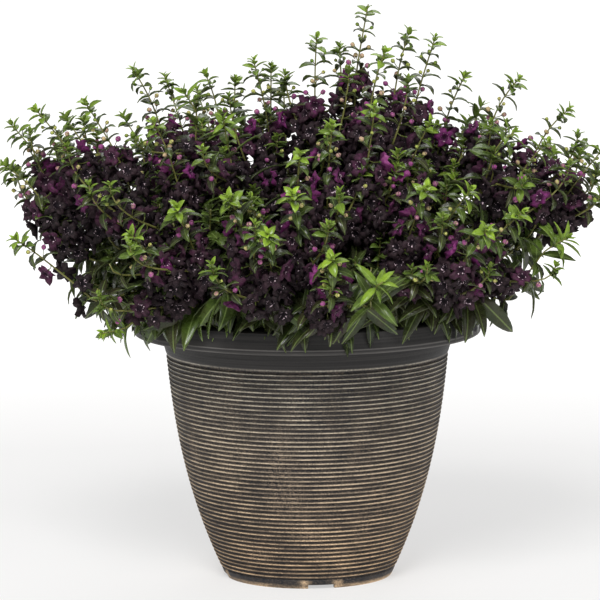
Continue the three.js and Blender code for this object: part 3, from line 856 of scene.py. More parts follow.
def make_pot(material):
    """The ribbed pot, with its notches and drain holes cut and its rubbed places marked."""
    pot = drawn_line("ribbed_pot", pot_profile())
    spin_round(POT_TURNS)
    cutters = foot_cutters()
    cut = pot.modifiers.new("notches", "BOOLEAN")
    cut.operation = "DIFFERENCE"
    cut.solver = "EXACT"
    cut.object = cutters
    bpy.ops.object.select_all(action="DESELECT")
    pot.select_set(True)
    bpy.context.view_layer.objects.active = pot
    finish_modifiers(pot)
    bpy.data.objects.remove(cutters)
    points = points_of(pot)
    turn = np.arctan2(points[:, 1], points[:, 0])
    radius = np.hypot(points[:, 0], points[:, 1])
    z = points[:, 2]
    marks = {
        "crest": crest_marks(turn, radius, z),
        "smooth": np.clip((z - NECK_BAND - 0.4 * MM) / (0.8 * MM), 0, 1),
        "worn": worn_marks(turn, radius, z),
    }
    for name, value in marks.items():
        layer = pot.data.attributes.new(name, "FLOAT", "POINT")
        layer.data.foreach_set("value", value)
    bpy.ops.object.shade_smooth_by_angle(angle=math.radians(40))
    dress(pot, material, "pot_plastic", "pot")


# Soil

SOIL_RADIUS = inner_radius(SOIL_EDGE) - SOIL_GAP


def soil_top(r):
    """Height of the soil at a distance from the pot's axis, a low dome."""
    return SOIL_EDGE + SOIL_DOME * (1 - (r / inner_radius(SOIL_EDGE)) ** 2)


def root_ball():
    """The soil's closed body, which narrows with the pot. Its top is still flat, in close rings."""
    soil = start(
        bpy.ops.mesh.primitive_circle_add,
        vertices=SOIL_TURNS,
        radius=SOIL_RADIUS,
        fill_type="NOTHING",
        location=(0, 0, SOIL_EDGE),
    )
    bpy.ops.object.transform_apply(location=True)
    pick(soil, lambda co: True)
    wider = SOIL_RADIUS
    for z in (120 * MM, 55 * MM, FLOOR_TOP + SOIL_GAP):
        narrower = inner_radius(z) - SOIL_GAP
        pull_edge(narrower / wider, 0)
        wider = narrower
        bpy.ops.object.mode_set(mode="OBJECT")
        for v in soil.data.vertices:
            if v.select:
                v.co.z = z
        bpy.ops.object.mode_set(mode="EDIT")
    bpy.ops.mesh.edge_face_add()
    bpy.ops.object.mode_set(mode="OBJECT")
    pick(soil, lambda co: co.z > SOIL_EDGE - MM)
    for left in range(SOIL_RINGS, 1, -1):
        pull_edge((left - 1) / left, 0)
    bpy.ops.mesh.merge(type="CENTER")
    bpy.ops.mesh.select_all(action="SELECT")
    bpy.ops.mesh.normals_make_consistent(inside=False)
    bpy.ops.object.mode_set(mode="OBJECT")
    return soil


def make_uneven(soil, draw):
    """Raises the top to its low dome and breaks it up into small lumps."""
    points = points_of(soil)
    for point in points:
        if point[2] > SOIL_EDGE - MM:
            r = math.hypot(point[0], point[1])
            inward = min(1, (SOIL_RADIUS - r) / (6 * MM))
            point[2] = soil_top(r) - 0.3 * MM + inward * draw(-1.8 * MM, 0.2 * MM)
            point[0] += inward * draw(-1, 1) * MM
            point[1] += inward * draw(-1, 1) * MM
    put_points(soil, points)


def add_chips(bunch, draw):
    """Strews chips of bark over the soil, half sunk into it."""
    chip = Shape(start(bpy.ops.mesh.primitive_ico_sphere_add, subdivisions=1, radius=1))
    for _ in range(CHIP_COUNT):
        r = (SOIL_RADIUS - 8 * MM) * math.sqrt(draw(0, 1))
        turn = draw(0, 2 * math.pi)
        size = np.array([draw(1.0, 3.4), draw(0.8, 1.8), draw(0.5, 1.0)]) * MM
        corners = chip.points * size
        spin = draw(0, math.pi)
        x = corners[:, 0] * math.cos(spin) - corners[:, 1] * math.sin(spin)
        y = corners[:, 0] * math.sin(spin) + corners[:, 1] * math.cos(spin)
        place = np.array([r * math.cos(turn), r * math.sin(turn), soil_top(r) - 1.2 * MM])
        points = np.stack([x, y, corners[:, 2]], axis=1) + place
        bunch.add(points, chip.corners, chip.starts, chip=draw(0.0, 1.0))


def make_soil(material):
    """The potting mix that fills the pot, with chips of bark on it."""
    draw = dice(7)
    soil = root_ball()
    make_uneven(soil, draw)
    whole = Shape(soil)
    bunch = Bunch("chip")
    bunch.add(whole.points, whole.corners, whole.starts)
    add_chips(bunch, draw)
    bunch.piece("potting_soil", material, "potting_soil", "soil")


# Templates of what the plant repeats


def leaf_width(along):
    """Share of the full width at each place along a leaf, from its stalk to its point."""
    return np.sin(np.pi * np.clip(along, 0, 1) ** 0.8) ** 0.85 * 0.97 + 0.03 + 0.1 * (1 - along) ** 8


def make_leaf(lengthways, thickness):
    """A lance-shaped blade, 1 long and 1 wide, folded a little along its midrib."""
    leaf = start(bpy.ops.mesh.primitive_grid_add, x_subdivisions=2, y_subdivisions=lengthways, size=1)
    points = points_of(leaf)
    along = points[:, 1] + 0.5
    across = points[:, 0] * leaf_width(along)
    put_points(leaf, np.stack([across, along, LEAF_FOLD * np.abs(across)], axis=1))
    shell = leaf.modifiers.new("thickness", "SOLIDIFY")
    shell.thickness = thickness
    shell.offset = -1
    finish_modifiers(leaf)
    points = points_of(leaf)
    across = np.abs(points[:, 0])
    under = (points[:, 2] < LEAF_FOLD * across - 0.5 * thickness).astype(float)
    return Shape(leaf, rib=across * 2, under=under)


def flat_flower():
    """Two rings of petal round a mouth, closed behind by a funnel, before the lobes are shaped."""
    count = LOBES * PETAL_STEPS
    flower = start(
        bpy.ops.mesh.primitive_circle_add,
        vertices=count,
        radius=THROAT_REACH,
        fill_type="TRIFAN",
    )
    pick(flower, lambda co: math.hypot(co.x, co.y) > 0.5 * THROAT_REACH)
    pull_edge(MIDDLE_REACH / THROAT_REACH, 0.04)
    pull_edge(1 / MIDDLE_REACH, 0.03)
    bpy.ops.mesh.extrude_edges_move()
    bpy.ops.transform.translate(value=(0, 0, -FUNNEL_DEPTH))
    bpy.ops.mesh.merge(type="CENTER")
    bpy.ops.mesh.select_all(action="SELECT")
    bpy.ops.mesh.normals_make_consistent(inside=False)
    bpy.ops.object.mode_set(mode="OBJECT")
    return flower


def make_flower(seed):
    """Five ruffled lobes round a sunken throat, facing +Z, with the large lower lobe at -Y."""
    draw = dice(seed)
    flower = flat_flower()
    points = points_of(flower)
    reach = np.hypot(points[:, 0], points[:, 1])
    turn = np.arctan2(points[:, 1], points[:, 0]) + math.pi / 2 + math.pi / LOBES
    lobe = (turn / (2 * math.pi / LOBES)) % LOBES
    size = [draw(0.9, 1.06) * share for share in LOBE_SIZES]
    lift = [draw(-0.3, 0.3) for _ in range(LOBES)]
    ruffle = [[draw(-1, 1) for _ in range(PETAL_STEPS)] for _ in range(LOBES)]
    vein = np.zeros(len(points))
    for i in np.flatnonzero(reach >= 0.5):
        point = points[i]
        which = int(lobe[i] + 1e-6) % LOBES
        step = int(round((lobe[i] - int(lobe[i] + 1e-6)) * PETAL_STEPS)) % PETAL_STEPS
        edge = reach[i] > 0.9
        curl = ruffle[which][step]
        vein[i] = VEIN_STEPS[step]
        grow = size[which] if step else min(size[which], size[which - 1])
        frill = 1 + FRILL * ruffle[which - 2][step] if edge else 1
        point[:2] *= (EDGE_STEPS if edge else MIDDLE_STEPS)[step] * grow * frill
        if step:
            point[2] += lift[which] * (0.8 if edge else 0.3)
        point[2] += (0.26 * curl - 0.05) if edge else (0.09 * curl + (0.08 if step else -0.08))
    throat = (reach < 0.05) & (points[:, 2] > -0.1)
    points[throat, 2] = THROAT_FLOOR
    put_points(flower, points)
    return Shape(flower, reach=np.where(points[:, 2] < -0.4, 0.7, reach), vein=vein)


def make_bud():
    """A round bud with a blunt point, 1 across, growing along +Z from its stalk."""
    bud = start(bpy.ops.mesh.primitive_uv_sphere_add, segments=6, ring_count=4, radius=0.5)
    points = points_of(bud)
    points[:, 2] = points[:, 2] * 1.1 + 0.5
    points[:, :2] *= np.where(points[:, 2:] > 0.7, 0.86, 1.0)
    put_points(bud, points)
    return Shape(bud)


def make_calyx():
    """The green cup under a flower or bud, with three long points and three short."""
    cup = start(bpy.ops.mesh.primitive_cone_add, vertices=6, radius1=0.14, radius2=0.5, depth=0.7)
    points = points_of(cup)
    points[:, 2] += 0.35
    turn = np.round(np.arctan2(points[:, 1], points[:, 0]) / (math.pi / 3)).astype(int)
    rim = points[:, 2] > 0.6
    points[rim & (turn % 2 == 0), 2] += 0.25
    points[rim & (turn % 2 == 1), 2] -= 0.15
    put_points(cup, points)
    return Shape(cup)


LEAF = make_leaf(5, LEAF_THICKNESS)
LONG_LEAF = make_leaf(8, LEAF_THICKNESS)
SMALL_LEAF = make_leaf(4, YOUNG_THICKNESS)
FLOWERS = [make_flower(3 + 8 * kind) for kind in range(FLOWER_KINDS)]
BUD = make_bud()
CALYX = make_calyx()


# The lines that the shoots follow


def crown_places():
    """The middle of each crown on the soil, the inner ring first."""
    rings = [(INNER_CIRCLE, (i + 0.5) * 2 * math.pi / INNER_CROWNS) for i in range(INNER_CROWNS)]
    rings += [(OUTER_CIRCLE, i * 2 * math.pi / OUTER_CROWNS) for i in range(OUTER_CROWNS)]
    return [np.array([r * math.cos(turn), r * math.sin(turn), soil_top(r)]) for r, turn in rings]


CROWNS = crown_places()


def nearest_crown(spot):
    """Which crown stands nearest to a spot on the soil."""
    return int(np.argmin([np.hypot(*(place[:2] - spot)) for place in CROWNS]))


def shoot_line(index):
    """Where a shoot's flowering end runs, and which crown the shoot grows from."""
    x, y, z, whorls, *fall = SHOOTS[index]
    tip = np.array([x, y, z]) * MM
    reach = math.hypot(tip[0], tip[1])
    climb = fall[0] * reach if fall else 2 * (tip[2] - LEAN_CENTRE)
    lean = unit(np.array([tip[0], tip[1], climb]))
    tip_length = TIP_LENGTH + TIP_LENGTH_RISE * max(tip[2] - LOW_TIP, 0)
    straight = tip_length + whorls * WHORL_PITCH if whorls else LEAFY_LENGTH
    return {
        "index": index,
        "tip": tip,
        "whorls": whorls,
        "lean": lean,
        "straight": straight,
        "head_base": tip - lean * straight,
        "crown": nearest_crown(tip[:2] * CANOPY_TO_CROWN),
    }


def arrange(crown, lines):
    """The shoots of one crown in their order round it, each with the face that it grows from."""
    own = [line for line in lines if line["crown"] == crown]
    centre = np.mean([line["tip"] for line in own], axis=0)
    for line in own:
        line["angle"] = math.atan2(line["tip"][1] - centre[1], line["tip"][0] - centre[0])
    own.sort(key=lambda line: line["angle"])
    step = 2 * math.pi / len(own)
    slip = [line["angle"] - (i + 0.5) * step for i, line in enumerate(own)]
    turn = math.atan2(sum(map(math.sin, slip)), sum(map(math.cos, slip)))
    place = CROWNS[crown]
    ring = []
    for i in range(len(own)):
        x = CROWN_RADIUS * math.cos(turn + i * step)
        y = CROWN_RADIUS * math.sin(turn + i * step)
        ring.append(place + np.array([x, y, 0.5 * MM]))
    for i, line in enumerate(own):
        line["seat"] = (ring[i] + ring[(i + 1) % len(own)] + place + UP * CROWN_RISE) / 3
    return own


class Stalk:
    """A line with a place and a heading at every distance along it."""

    def __init__(self, points):
        self.points = np.array(points)
        steps = np.linalg.norm(np.diff(self.points, axis=0), axis=1)
        self.distances = np.concatenate([[0], np.cumsum(steps)])
        self.length = self.distances[-1]

    def at(self, distance):
        """The place at a distance from the root."""
        return np.array([np.interp(distance, self.distances, self.points[:, i]) for i in range(3)])

    def heading(self, distance):
        """The way the line runs there."""
        ahead = self.at(min(distance + 2 * MM, self.length))
        return unit(ahead - self.at(max(distance - 2 * MM, 0)))


def curved(start_point, first, second, end, steps):
    """Points along a smooth curve that leaves towards the first pull and arrives from the second."""
    t = np.linspace(0, 1, steps)[:, None]
    return (
        (1 - t) ** 3 * start_point + 3 * (1 - t) ** 2 * t * first + 3 * (1 - t) * t**2 * second + t**3 * end
    )


def main_stalk(line, draw):
    """The curve from the crown, over the rim where it goes that far out, and the flowering end."""
    seat, base, lean = line["seat"], line["head_base"], line["lean"]
    rise = max(LEAST_RISE, RISE_SHARE * (base[2] - seat[2]))
    first = seat + FOOT_SHARE * (base - seat)
    first[2] = seat[2] + rise
    over = max(base[2] - BEND_DROP * max(lean[2], 0), POT_HEIGHT + RIM_CLEARANCE)
    second = np.array([base[0] * BEND_SHARE, base[1] * BEND_SHARE, over])
    bend = curved(seat, first, second, base, 22)
    outward = np.array([line["tip"][0], line["tip"][1], 0.0]) / max(np.hypot(*line["tip"][:2]), 60 * MM)
    side = -outward + 0.7 * np.array([draw(-1, 1), draw(-1, 1), 0.0])
    side = unit(side - lean * side.dot(lean))
    t = np.linspace(0, 1, 16)[1:, None]
    bow = np.sin(t**1.25 * math.pi) * draw(4.0, 9.0)
    wave = np.sin(3 * t * math.pi) * draw(-1.2, 1.2)
    end = base + (line["tip"] - base) * t + side * (bow + wave) * MM
    root = seat - UP * ROOT_DEPTH + (CROWNS[line["crown"]] - seat) * np.array([0.6, 0.6, 0])
    return Stalk([root, *bend, *end])


# Growing: each thing is placed on its stalk and copied into a piece

LOW = np.array(CAD_BOX[0]) + BOX_MARGIN
HIGH = np.array(CAD_BOX[1]) - BOX_MARGIN


def pose(place, heading, upper):
    """A place and the axes across, along and up of what grows from it along a heading."""
    along = unit(heading)
    across = np.cross(along, upper)
    if np.linalg.norm(across) < 1e-3:
        across = np.cross(along, np.array([1.0, 0.3, 0.2]))
    across = unit(across)
    return place, across, along, np.cross(across, along)


def fits(points):
    """Whether all the points lie inside the box of the solids."""
    return bool((points > LOW).all() and (points < HIGH).all())


def clear_of_pot(points):
    """Lays what would pass through the rim, the wall or the soil on it instead."""
    r = np.hypot(points[:, 0], points[:, 1])
    z = points[:, 2]
    soil = np.array([soil_top(min(d, MOUTH_RADIUS)) for d in r]) + SOIL_CLEARANCE
    z = np.where((r < MOUTH_RADIUS + 2 * MM) & (z < soil), soil, z)
    top = POT_HEIGHT + RIM_TOUCH
    side = RIM_RADIUS + RIM_TOUCH
    in_rim = (z < top) & (r >= MOUTH_RADIUS) & (r < side)
    upwards = top - z
    outwards = side - r
    z = np.where(in_rim & (upwards <= outwards), top, z)
    stretch = np.where(in_rim & (upwards > outwards), side, r) / np.maximum(r, 1e-9)
    points[:, 0] *= stretch
    points[:, 1] *= stretch
    points[:, 2] = z
    return points


def tube(bunch, points, radii, **values):
    """A closed round stem along a line of points."""
    points = np.asarray(points)
    count = len(points)
    headings = np.gradient(points, axis=0)
    headings /= np.linalg.norm(headings, axis=1)[:, None]
    guide = unit(np.cross(headings[0], np.array([0.31, 0.83, 0.46])))
    sides = STEM_SIDES if count >= STEM_ROWS else STALK_SIDES
    angles = np.arange(sides) * 2 * math.pi / sides
    rows = []
    for i in range(count):
        guide = unit(guide - headings[i] * guide.dot(headings[i]))
        other = np.cross(headings[i], guide)
        circle = np.cos(angles)[:, None] * guide + np.sin(angles)[:, None] * other
        rows.append(points[i] + radii[i] * circle)
    corners, starts = [], []
    for i in range(count - 1):
        for j in range(sides):
            k = (j + 1) % sides
            starts.append(len(corners))
            corners += [i * sides + j, i * sides + k, (i + 1) * sides + k, (i + 1) * sides + j]
    starts.append(len(corners))
    corners += list(range(sides))[::-1]
    starts.append(len(corners))
    corners += [(count - 1) * sides + j for j in range(sides)]
    shared = {name: np.repeat(np.broadcast_to(value, count), sides) for name, value in values.items()}
    bunch.add(np.concatenate(rows), np.array(corners), np.array(starts), **shared)


def leaf(bunch, shape, stance, length, width, bend, young, twist):
    """One leaf, bent back along its length. Where it would leave the solids' box it is smaller."""
    place, across, along, top = stance
    across, top = (
        across * math.cos(twist) + top * math.sin(twist),
        top * math.cos(twist) - across * math.sin(twist),
    )
    t = shape.points[:, 1]
    angle = bend * t
    safe = bend if abs(bend) > 1e-3 else 1e-3
    for shrink in LEAF_SHRINKS:
        forward = length * shrink * np.sin(safe * t) / safe
        down = length * shrink * (np.cos(safe * t) - 1) / safe
        side = shape.points[:, 0] * width * shrink
        lift = shape.points[:, 2] * width * shrink
        points = (
            place
            + side[:, None] * across
            + (forward + lift * np.sin(angle))[:, None] * along
            + (down + lift * np.cos(angle))[:, None] * top
        )
        points = clear_of_pot(points)
        if fits(points):
            bunch.add(points, shape.corners, shape.starts, young=young, **shape.values)
            return


def copy_at(bunch, shape, stance, scale, **values):
    """A copy whose own Z runs along the heading. Says whether it fitted."""
    place, across, along, top = stance
    points = place + scale * (
        shape.points[:, 1:2] * top + shape.points[:, 2:] * along - shape.points[:, :1] * across
    )
    if not fits(points):
        return False
    bunch.add(points, shape.corners, shape.starts, **{**shape.values, **values})
    return True


def round_stem(heading, turn):
    """A direction that stands out from a stem, at a turn about it."""
    guide = unit(np.cross(heading, np.array([0.0, 1.0, 0.0])))
    other = np.cross(heading, guide)
    return guide * math.cos(turn) + other * math.sin(turn)


def leaf_pair(greens, shape, stalk, distance, turn, draw, *, length, width, rise, bend, young):
    """Two leaves on opposite sides of a stem, no two quite alike."""
    heading = stalk.heading(distance)
    for side in (0, math.pi):
        out = round_stem(heading, turn + side + draw(-0.2, 0.2))
        angle = rise + draw(-0.2, 0.2)
        direction = out * math.cos(angle) + heading * math.sin(angle)
        size = draw(0.85, 1.1)
        leaf(
            greens,
            shape,
            pose(stalk.at(distance), direction, unit(heading + UP * 0.7)),
            length=length * size,
            width=width * size,
            bend=bend + draw(-0.3, 0.4),
            young=np.clip(young + draw(-0.1, 0.1), 0, 1),
            twist=draw(-0.55, 0.55),
        )


def tuft(greens, stalk, length, draw, glow=1.0, slender=0.5, star=BUD_STAR):
    """The star of bright young leaves at the end of a shoot."""
    turn = draw(0, 6)
    for level, (back, share, rise) in enumerate(star):
        leaf_pair(
            greens,
            SMALL_LEAF,
            stalk,
            stalk.length - back * MM,
            turn + level * (math.pi / 2 + 0.2),
            draw,
            length=length * share,
            width=length * share * slender,
            rise=rise,
            bend=0.5,
            young=(0.72 + 0.28 * level / len(star)) * glow,
        )


def bud(greens, blooms, stalk, distance, turn, size, age, length, draw):
    """A bud on its stalk, with its green cup."""
    heading = stalk.heading(distance)
    out = round_stem(heading, turn)
    root = stalk.at(distance)
    direction = unit(out + heading * draw(0.5, 0.9))
    middle = root + (direction * 0.55 - UP * 0.05) * length
    end = root + direction * length
    face = unit(direction + UP * 0.2 + out * 0.3)
    tube(greens, [root, middle, end], BUD_STALK, young=0.6, stem=0.5, rib=1.0)
    cup = max(size * 0.9, LEAST_BUD_CUP)
    copy_at(greens, CALYX, pose(end, face, heading), cup, young=0.35, rib=1.0)
    copy_at(blooms, BUD, pose(end + face * 0.3 * MM, face, heading), size, age=age, reach=0.7)


def flower(greens, blooms, stalk, distance, turn, size, age, reach, draw):
    """A flower that faces away from the stem, on its stalk and with its green cup."""
    heading = stalk.heading(distance)
    out = round_stem(heading, turn)
    root = stalk.at(distance)
    face = unit(out + heading * draw(-0.15, 0.35) + UP * draw(-0.1, 0.15))
    centre = root + out * reach + heading * draw(-2, 2) * MM
    back = centre - face * size * FUNNEL_DEPTH
    middle = (root + back) / 2 - heading * 1 * MM
    tube(greens, [root, middle, back], FLOWER_STALK, young=0.5, stem=0.5, rib=1.0)
    shape = FLOWERS[int(draw(0, len(FLOWERS) - 0.001))]
    upright = heading + np.cross(heading, out) * draw(-0.6, 0.6)
    if copy_at(blooms, shape, pose(centre, face, upright), size, age=age):
        cup = pose(back - face * 0.6 * MM, face, heading)
        copy_at(greens, CALYX, cup, FLOWER_CUP, young=0.45, rib=1.0)


def grow_stem(greens, stalk, base, top, young, woody=False):
    """The stem along a stalk, from its radius at the base to that at the top."""
    count = max(int(stalk.length / STEM_STEP), STEM_ROWS)
    distances = np.linspace(0, stalk.length - 0.5 * MM, count)
    share = distances / stalk.length
    wood = np.clip(1 - share / WOODY_SHARE, 0, 1) if woody else 0.0
    radii = base + (top - base) * share
    tube(greens, [stalk.at(d) for d in distances], radii, young=young, stem=1.0, wood=wood, rib=1.0)


def branch_off(stalk, distance, length, sideways, upwards, draw):
    """The line of a branch that leaves its stalk outwards and turns up, no higher than the stalk."""
    root = stalk.at(distance)
    heading = stalk.heading(distance)
    away = unit(np.array([root[0], root[1], 0.0]) + 1e-6)
    out = round_stem(heading, draw(0, 2 * math.pi))
    direction = unit(out * sideways + away * 0.6 + heading * 0.4 + UP * upwards)
    end = root + direction * length + UP * length * 0.25
    ceiling = stalk.at(stalk.length)[2] - draw(14, 40) * MM
    end[2] = min(end[2], max(ceiling, POT_HEIGHT + RIM_CLEARANCE))
    return branch_to(stalk, distance, end)


def branch_to(stalk, distance, end):
    """The line of a branch from its stalk to where its tip is."""
    root = stalk.at(distance)
    end = np.minimum(np.maximum(end, LOW + TIP_MARGIN), HIGH - TIP_MARGIN)
    length = np.linalg.norm(end - root)
    first = root + (end - root) * np.array([0.4, 0.4, 0.2])
    return Stalk(curved(root, first, end - UP * length * 0.3, end, 9))


def side_shoot(greens, stalk, distance, length, draw):
    """A short leafy branch, painted brighter where its tip reaches the light and darker in the shade, with
    a bright tuft only where it is lit.
    """
    branch = branch_off(stalk, distance, length, 1.0, 0.4, draw)
    tip = branch.at(branch.length)
    # Painted light and shade: the higher the tip stands, the brighter its stem and leaves are painted
    light = float(np.clip((tip[2] - SHADE_HEIGHT) / SHADE_FADE, 0, 1))
    grow_stem(greens, branch, BRANCH_BASE, SIDE_SHOOT_TOP, 0.3 + 0.3 * light)
    turn = draw(0, 3)
    place = 12 * MM
    while place < branch.length - 6 * MM:
        share = place / branch.length
        leaf_pair(
            greens,
            LEAF if share < 0.6 else SMALL_LEAF,
            branch,
            place,
            turn,
            draw,
            length=(36 - 14 * share) * MM,
            width=(9.5 - 2.5 * share) * MM,
            rise=0.45,
            bend=0.9,
            young=0.08 + (0.2 + 0.35 * share) * light,
        )
        place += draw(9, 13) * MM
        turn += math.pi / 2
    if light > 0.3:
        tuft(greens, branch, SIDE_STAR_LENGTH, draw, 0.65)


def side_spike(greens, blooms, branch, draw):
    """A lesser flowering branch: a few flowers, some buds and a bright tip."""
    grow_stem(greens, branch, BRANCH_BASE, STEM_TOP, 0.5)
    turn = draw(0, 6)
    count = max(int(branch.length / SPIKE_PITCH), 5)
    for k in range(count):
        share = (k + 0.5) / count
        turn += GOLDEN_TURN
        place = branch.length * (0.1 + 0.48 * share)
        size = FLOWER_RADIUS * draw(0.84, 0.98)
        age = 0.95 - 0.4 * share**3 + draw(-0.08, 0.08)
        flower(greens, blooms, branch, place, turn, size, age, draw(8, 14) * MM, draw)
    grow_tip(greens, blooms, branch, branch.length * 0.62, draw, 0.85)


def grow_tip(greens, blooms, stalk, distance, draw, glow=1.0, fullness=1.0):
    """The budding end of a spike: bracts, buds from mauve to green, and the tuft."""
    turn = draw(0, 6)
    budding = stalk.length - distance
    while distance < stalk.length - 8 * MM:
        share = 1 - (stalk.length - distance) / budding
        size = BUD_SIZE - BUD_SHRINK * share - draw(0, 0.8) * MM
        age = max(0.38 - 0.62 * share + draw(-0.06, 0.03), 0.0)
        leaf_pair(
            greens,
            SMALL_LEAF,
            stalk,
            distance,
            turn,
            draw,
            length=(19 - 5 * share) * MM * draw(0.8, 1.15) * fullness,
            width=(6.8 - 1.2 * share) * MM * fullness,
            rise=draw(0.3, 0.7),
            bend=1.1,
            young=(0.26 + 0.34 * share) * glow,
        )
        for side in (0, math.pi):
            if draw(0, 1) < BUD_CHANCE:
                length = (8 - 4 * share) * MM
                bud(greens, blooms, stalk, distance + MM, turn + side + 0.5, size, age, length, draw)
        distance += BUD_PITCH * draw(0.8, 1.25)
        turn += math.pi / 2 + draw(-0.3, 0.3)
    tuft(greens, stalk, BUD_STAR_LENGTH * fullness, draw, glow)


def stem_leaves(greens, stalk, head_base, bend, draw):
    """Pairs of full-grown leaves below the flowering end. Returns where the next pair would be."""
    turn = draw(0, 3)
    distance = FIRST_LEAF
    while distance < head_base:
        share = distance / head_base
        leaf_pair(
            greens,
            LEAF,
            stalk,
            distance,
            turn,
            draw,
            length=STEM_LEAF_LENGTH + STEM_LEAF_SWELL * math.sin(share * math.pi),
            width=STEM_LEAF_WIDTH,
            rise=0.35,
            bend=bend,
            young=0.05 + 0.2 * share,
        )
        distance += LEAF_PITCH * draw(0.85, 1.15)
        turn += math.pi / 2
    return distance, turn


def leafy_end(greens, faded, stalk, line, distance, turn, draw):
    """The end of a shoot without flowers of its own. The high ones have two lesser spikes."""
    head_base = stalk.length - line["straight"]
    while distance < stalk.length - 12 * MM:
        share = (distance - head_base) / line["straight"]
        leaf_pair(
            greens,
            LEAF,
            stalk,
            distance,
            turn,
            draw,
            length=(38 - 18 * share) * MM,
            width=(10 - 4 * share) * MM,
            rise=0.5,
            bend=0.6,
            young=0.4 + 0.3 * share,
        )
        distance += draw(9, 12) * MM
        turn += math.pi / 2
    height = line["tip"][2]
    if height > HIGH_SHOOT:
        tuft(greens, stalk, HIGH_STAR_LENGTH, draw, 0.9, 0.28, LEAFY_STAR)
        for _ in range(2):
            branch = branch_off(stalk, head_base - draw(0, 40) * MM, draw(50, 80) * MM, 0.7, 0.6, draw)
            side_spike(greens, faded, branch, draw)
    else:
        size = LOW_STAR_LENGTH if height < LOW_SHOOT else LEAFY_STAR_LENGTH
        tuft(greens, stalk, size, draw, 0.98, 0.28, LEAFY_STAR)


def older_flowers(greens, faded, stalk, head_base, turn, draw):
    """The faded flowers below a head. Returns the turn that the next flower follows."""
    for k in range(FADED_COUNT):
        turn += GOLDEN_TURN
        place = head_base - FADED_STRETCH * (k + draw(0, 1)) / FADED_COUNT
        size = FLOWER_RADIUS * draw(0.85, 1.0)
        flower(greens, faded, stalk, place, turn, size, draw(0.82, 1.0), draw(12, 19) * MM, draw)
    return turn


def flower_whorls(greens, blooms, stalk, line, count, darkness, turn, draw):
    """The flowers of a head, from the oldest up, and a pair of bracts at every third."""
    head_base = stalk.length - line["straight"]
    for k in range(count):
        share = (k + 0.5) / count
        place = head_base + 2 * MM + line["whorls"] * WHORL_PITCH * share
        age = 0.94 - 0.44 * share**4 + darkness + draw(-0.1, 0.08)
        size = FLOWER_RADIUS * (1.0 - 0.14 * share**3) * draw(0.92, 1.06)
        turn += GOLDEN_TURN
        flower(greens, blooms, stalk, place, turn, size, age, draw(10, 16.5) * MM, draw)
        if k % 3 == 1:
            leaf_pair(
                greens,
                SMALL_LEAF,
                stalk,
                place,
                turn + math.pi / 3,
                draw,
                length=draw(15, 20) * MM,
                width=BRACT_WIDTH,
                rise=0.35,
                bend=0.8,
                young=0.22,
            )


def flowering_end(greens, blooms, faded, stalk, line, draw):
    """The flowers of a shoot, its budding tip and the lesser spikes beside it."""
    tip = line["tip"]
    head_base = stalk.length - line["straight"]
    late = line["index"] in LATE_SHOOTS
    darkness = draw(-0.06, 0.06) + (0.06 if tip[0] < LEFT_HEADS else 0)
    turn = draw(0, 6)
    if np.hypot(*tip[:2]) < FADED_REACH and abs(tip[0]) < FADED_SIDE:
        turn = older_flowers(greens, faded, stalk, head_base, turn, draw)
    count = (LATE_FLOWERS_A_WHORL if late else FLOWERS_A_WHORL) * line["whorls"]
    flower_whorls(greens, blooms, stalk, line, count, darkness, turn, draw)
    low = float(np.clip((LOW_HEAD - tip[2]) / (40 * MM), 0, 1))
    budding = head_base + line["whorls"] * WHORL_PITCH + 3 * MM
    grow_tip(greens, blooms, stalk, budding, draw, 1 + 0.05 * low, 1 + 0.15 * low)
    for index, *spike_tip in LESSER_SPIKES:
        if index == line["index"]:
            branch = branch_to(stalk, head_base + 12 * MM, np.array(spike_tip) * MM)
            side_spike(greens, faded, branch, draw)
    if not late:
        beside_head(greens, faded, stalk, line, draw)


def beside_head(greens, faded, stalk, line, draw):
    """One lesser spike beside an outer head, or two beside a head further in."""
    head_base = stalk.length - line["straight"]
    outer = is_outer(line)
    for _ in range(1 if outer else 2):
        root = head_base + (draw(-10, 20) if outer else draw(-40, 0)) * MM
        side_spike(greens, faded, branch_off(stalk, root, draw(60, 95) * MM, 0.7, 0.6, draw), draw)


def is_outer(line):
    """Whether a shoot ends beyond the rim."""
    return np.hypot(*line["tip"][:2]) > OUTER_REACH


def grow_shoot(line, greens, blooms, faded):
    """A whole shoot: its stem, leaves and side shoots, then its leafy or flowering end."""
    draw = dice(400 + line["index"])
    stalk = main_stalk(line, draw)
    grow_stem(greens, stalk, STEM_BASE, STEM_TOP, 0.55, woody=True)
    head_base = stalk.length - line["straight"]
    outer = is_outer(line)
    distance, turn = stem_leaves(greens, stalk, head_base, 0.9 if outer else 0.6, draw)
    for share in SIDE_SHOOTS[: 3 if outer and line["whorls"] else 2]:
        side_shoot(greens, stalk, head_base * (share + draw(-0.06, 0.06)), draw(42, 72) * MM, draw)
    if line["whorls"]:
        flowering_end(greens, blooms, faded, stalk, line, draw)
    else:
        leafy_end(greens, faded, stalk, line, distance, turn, draw)


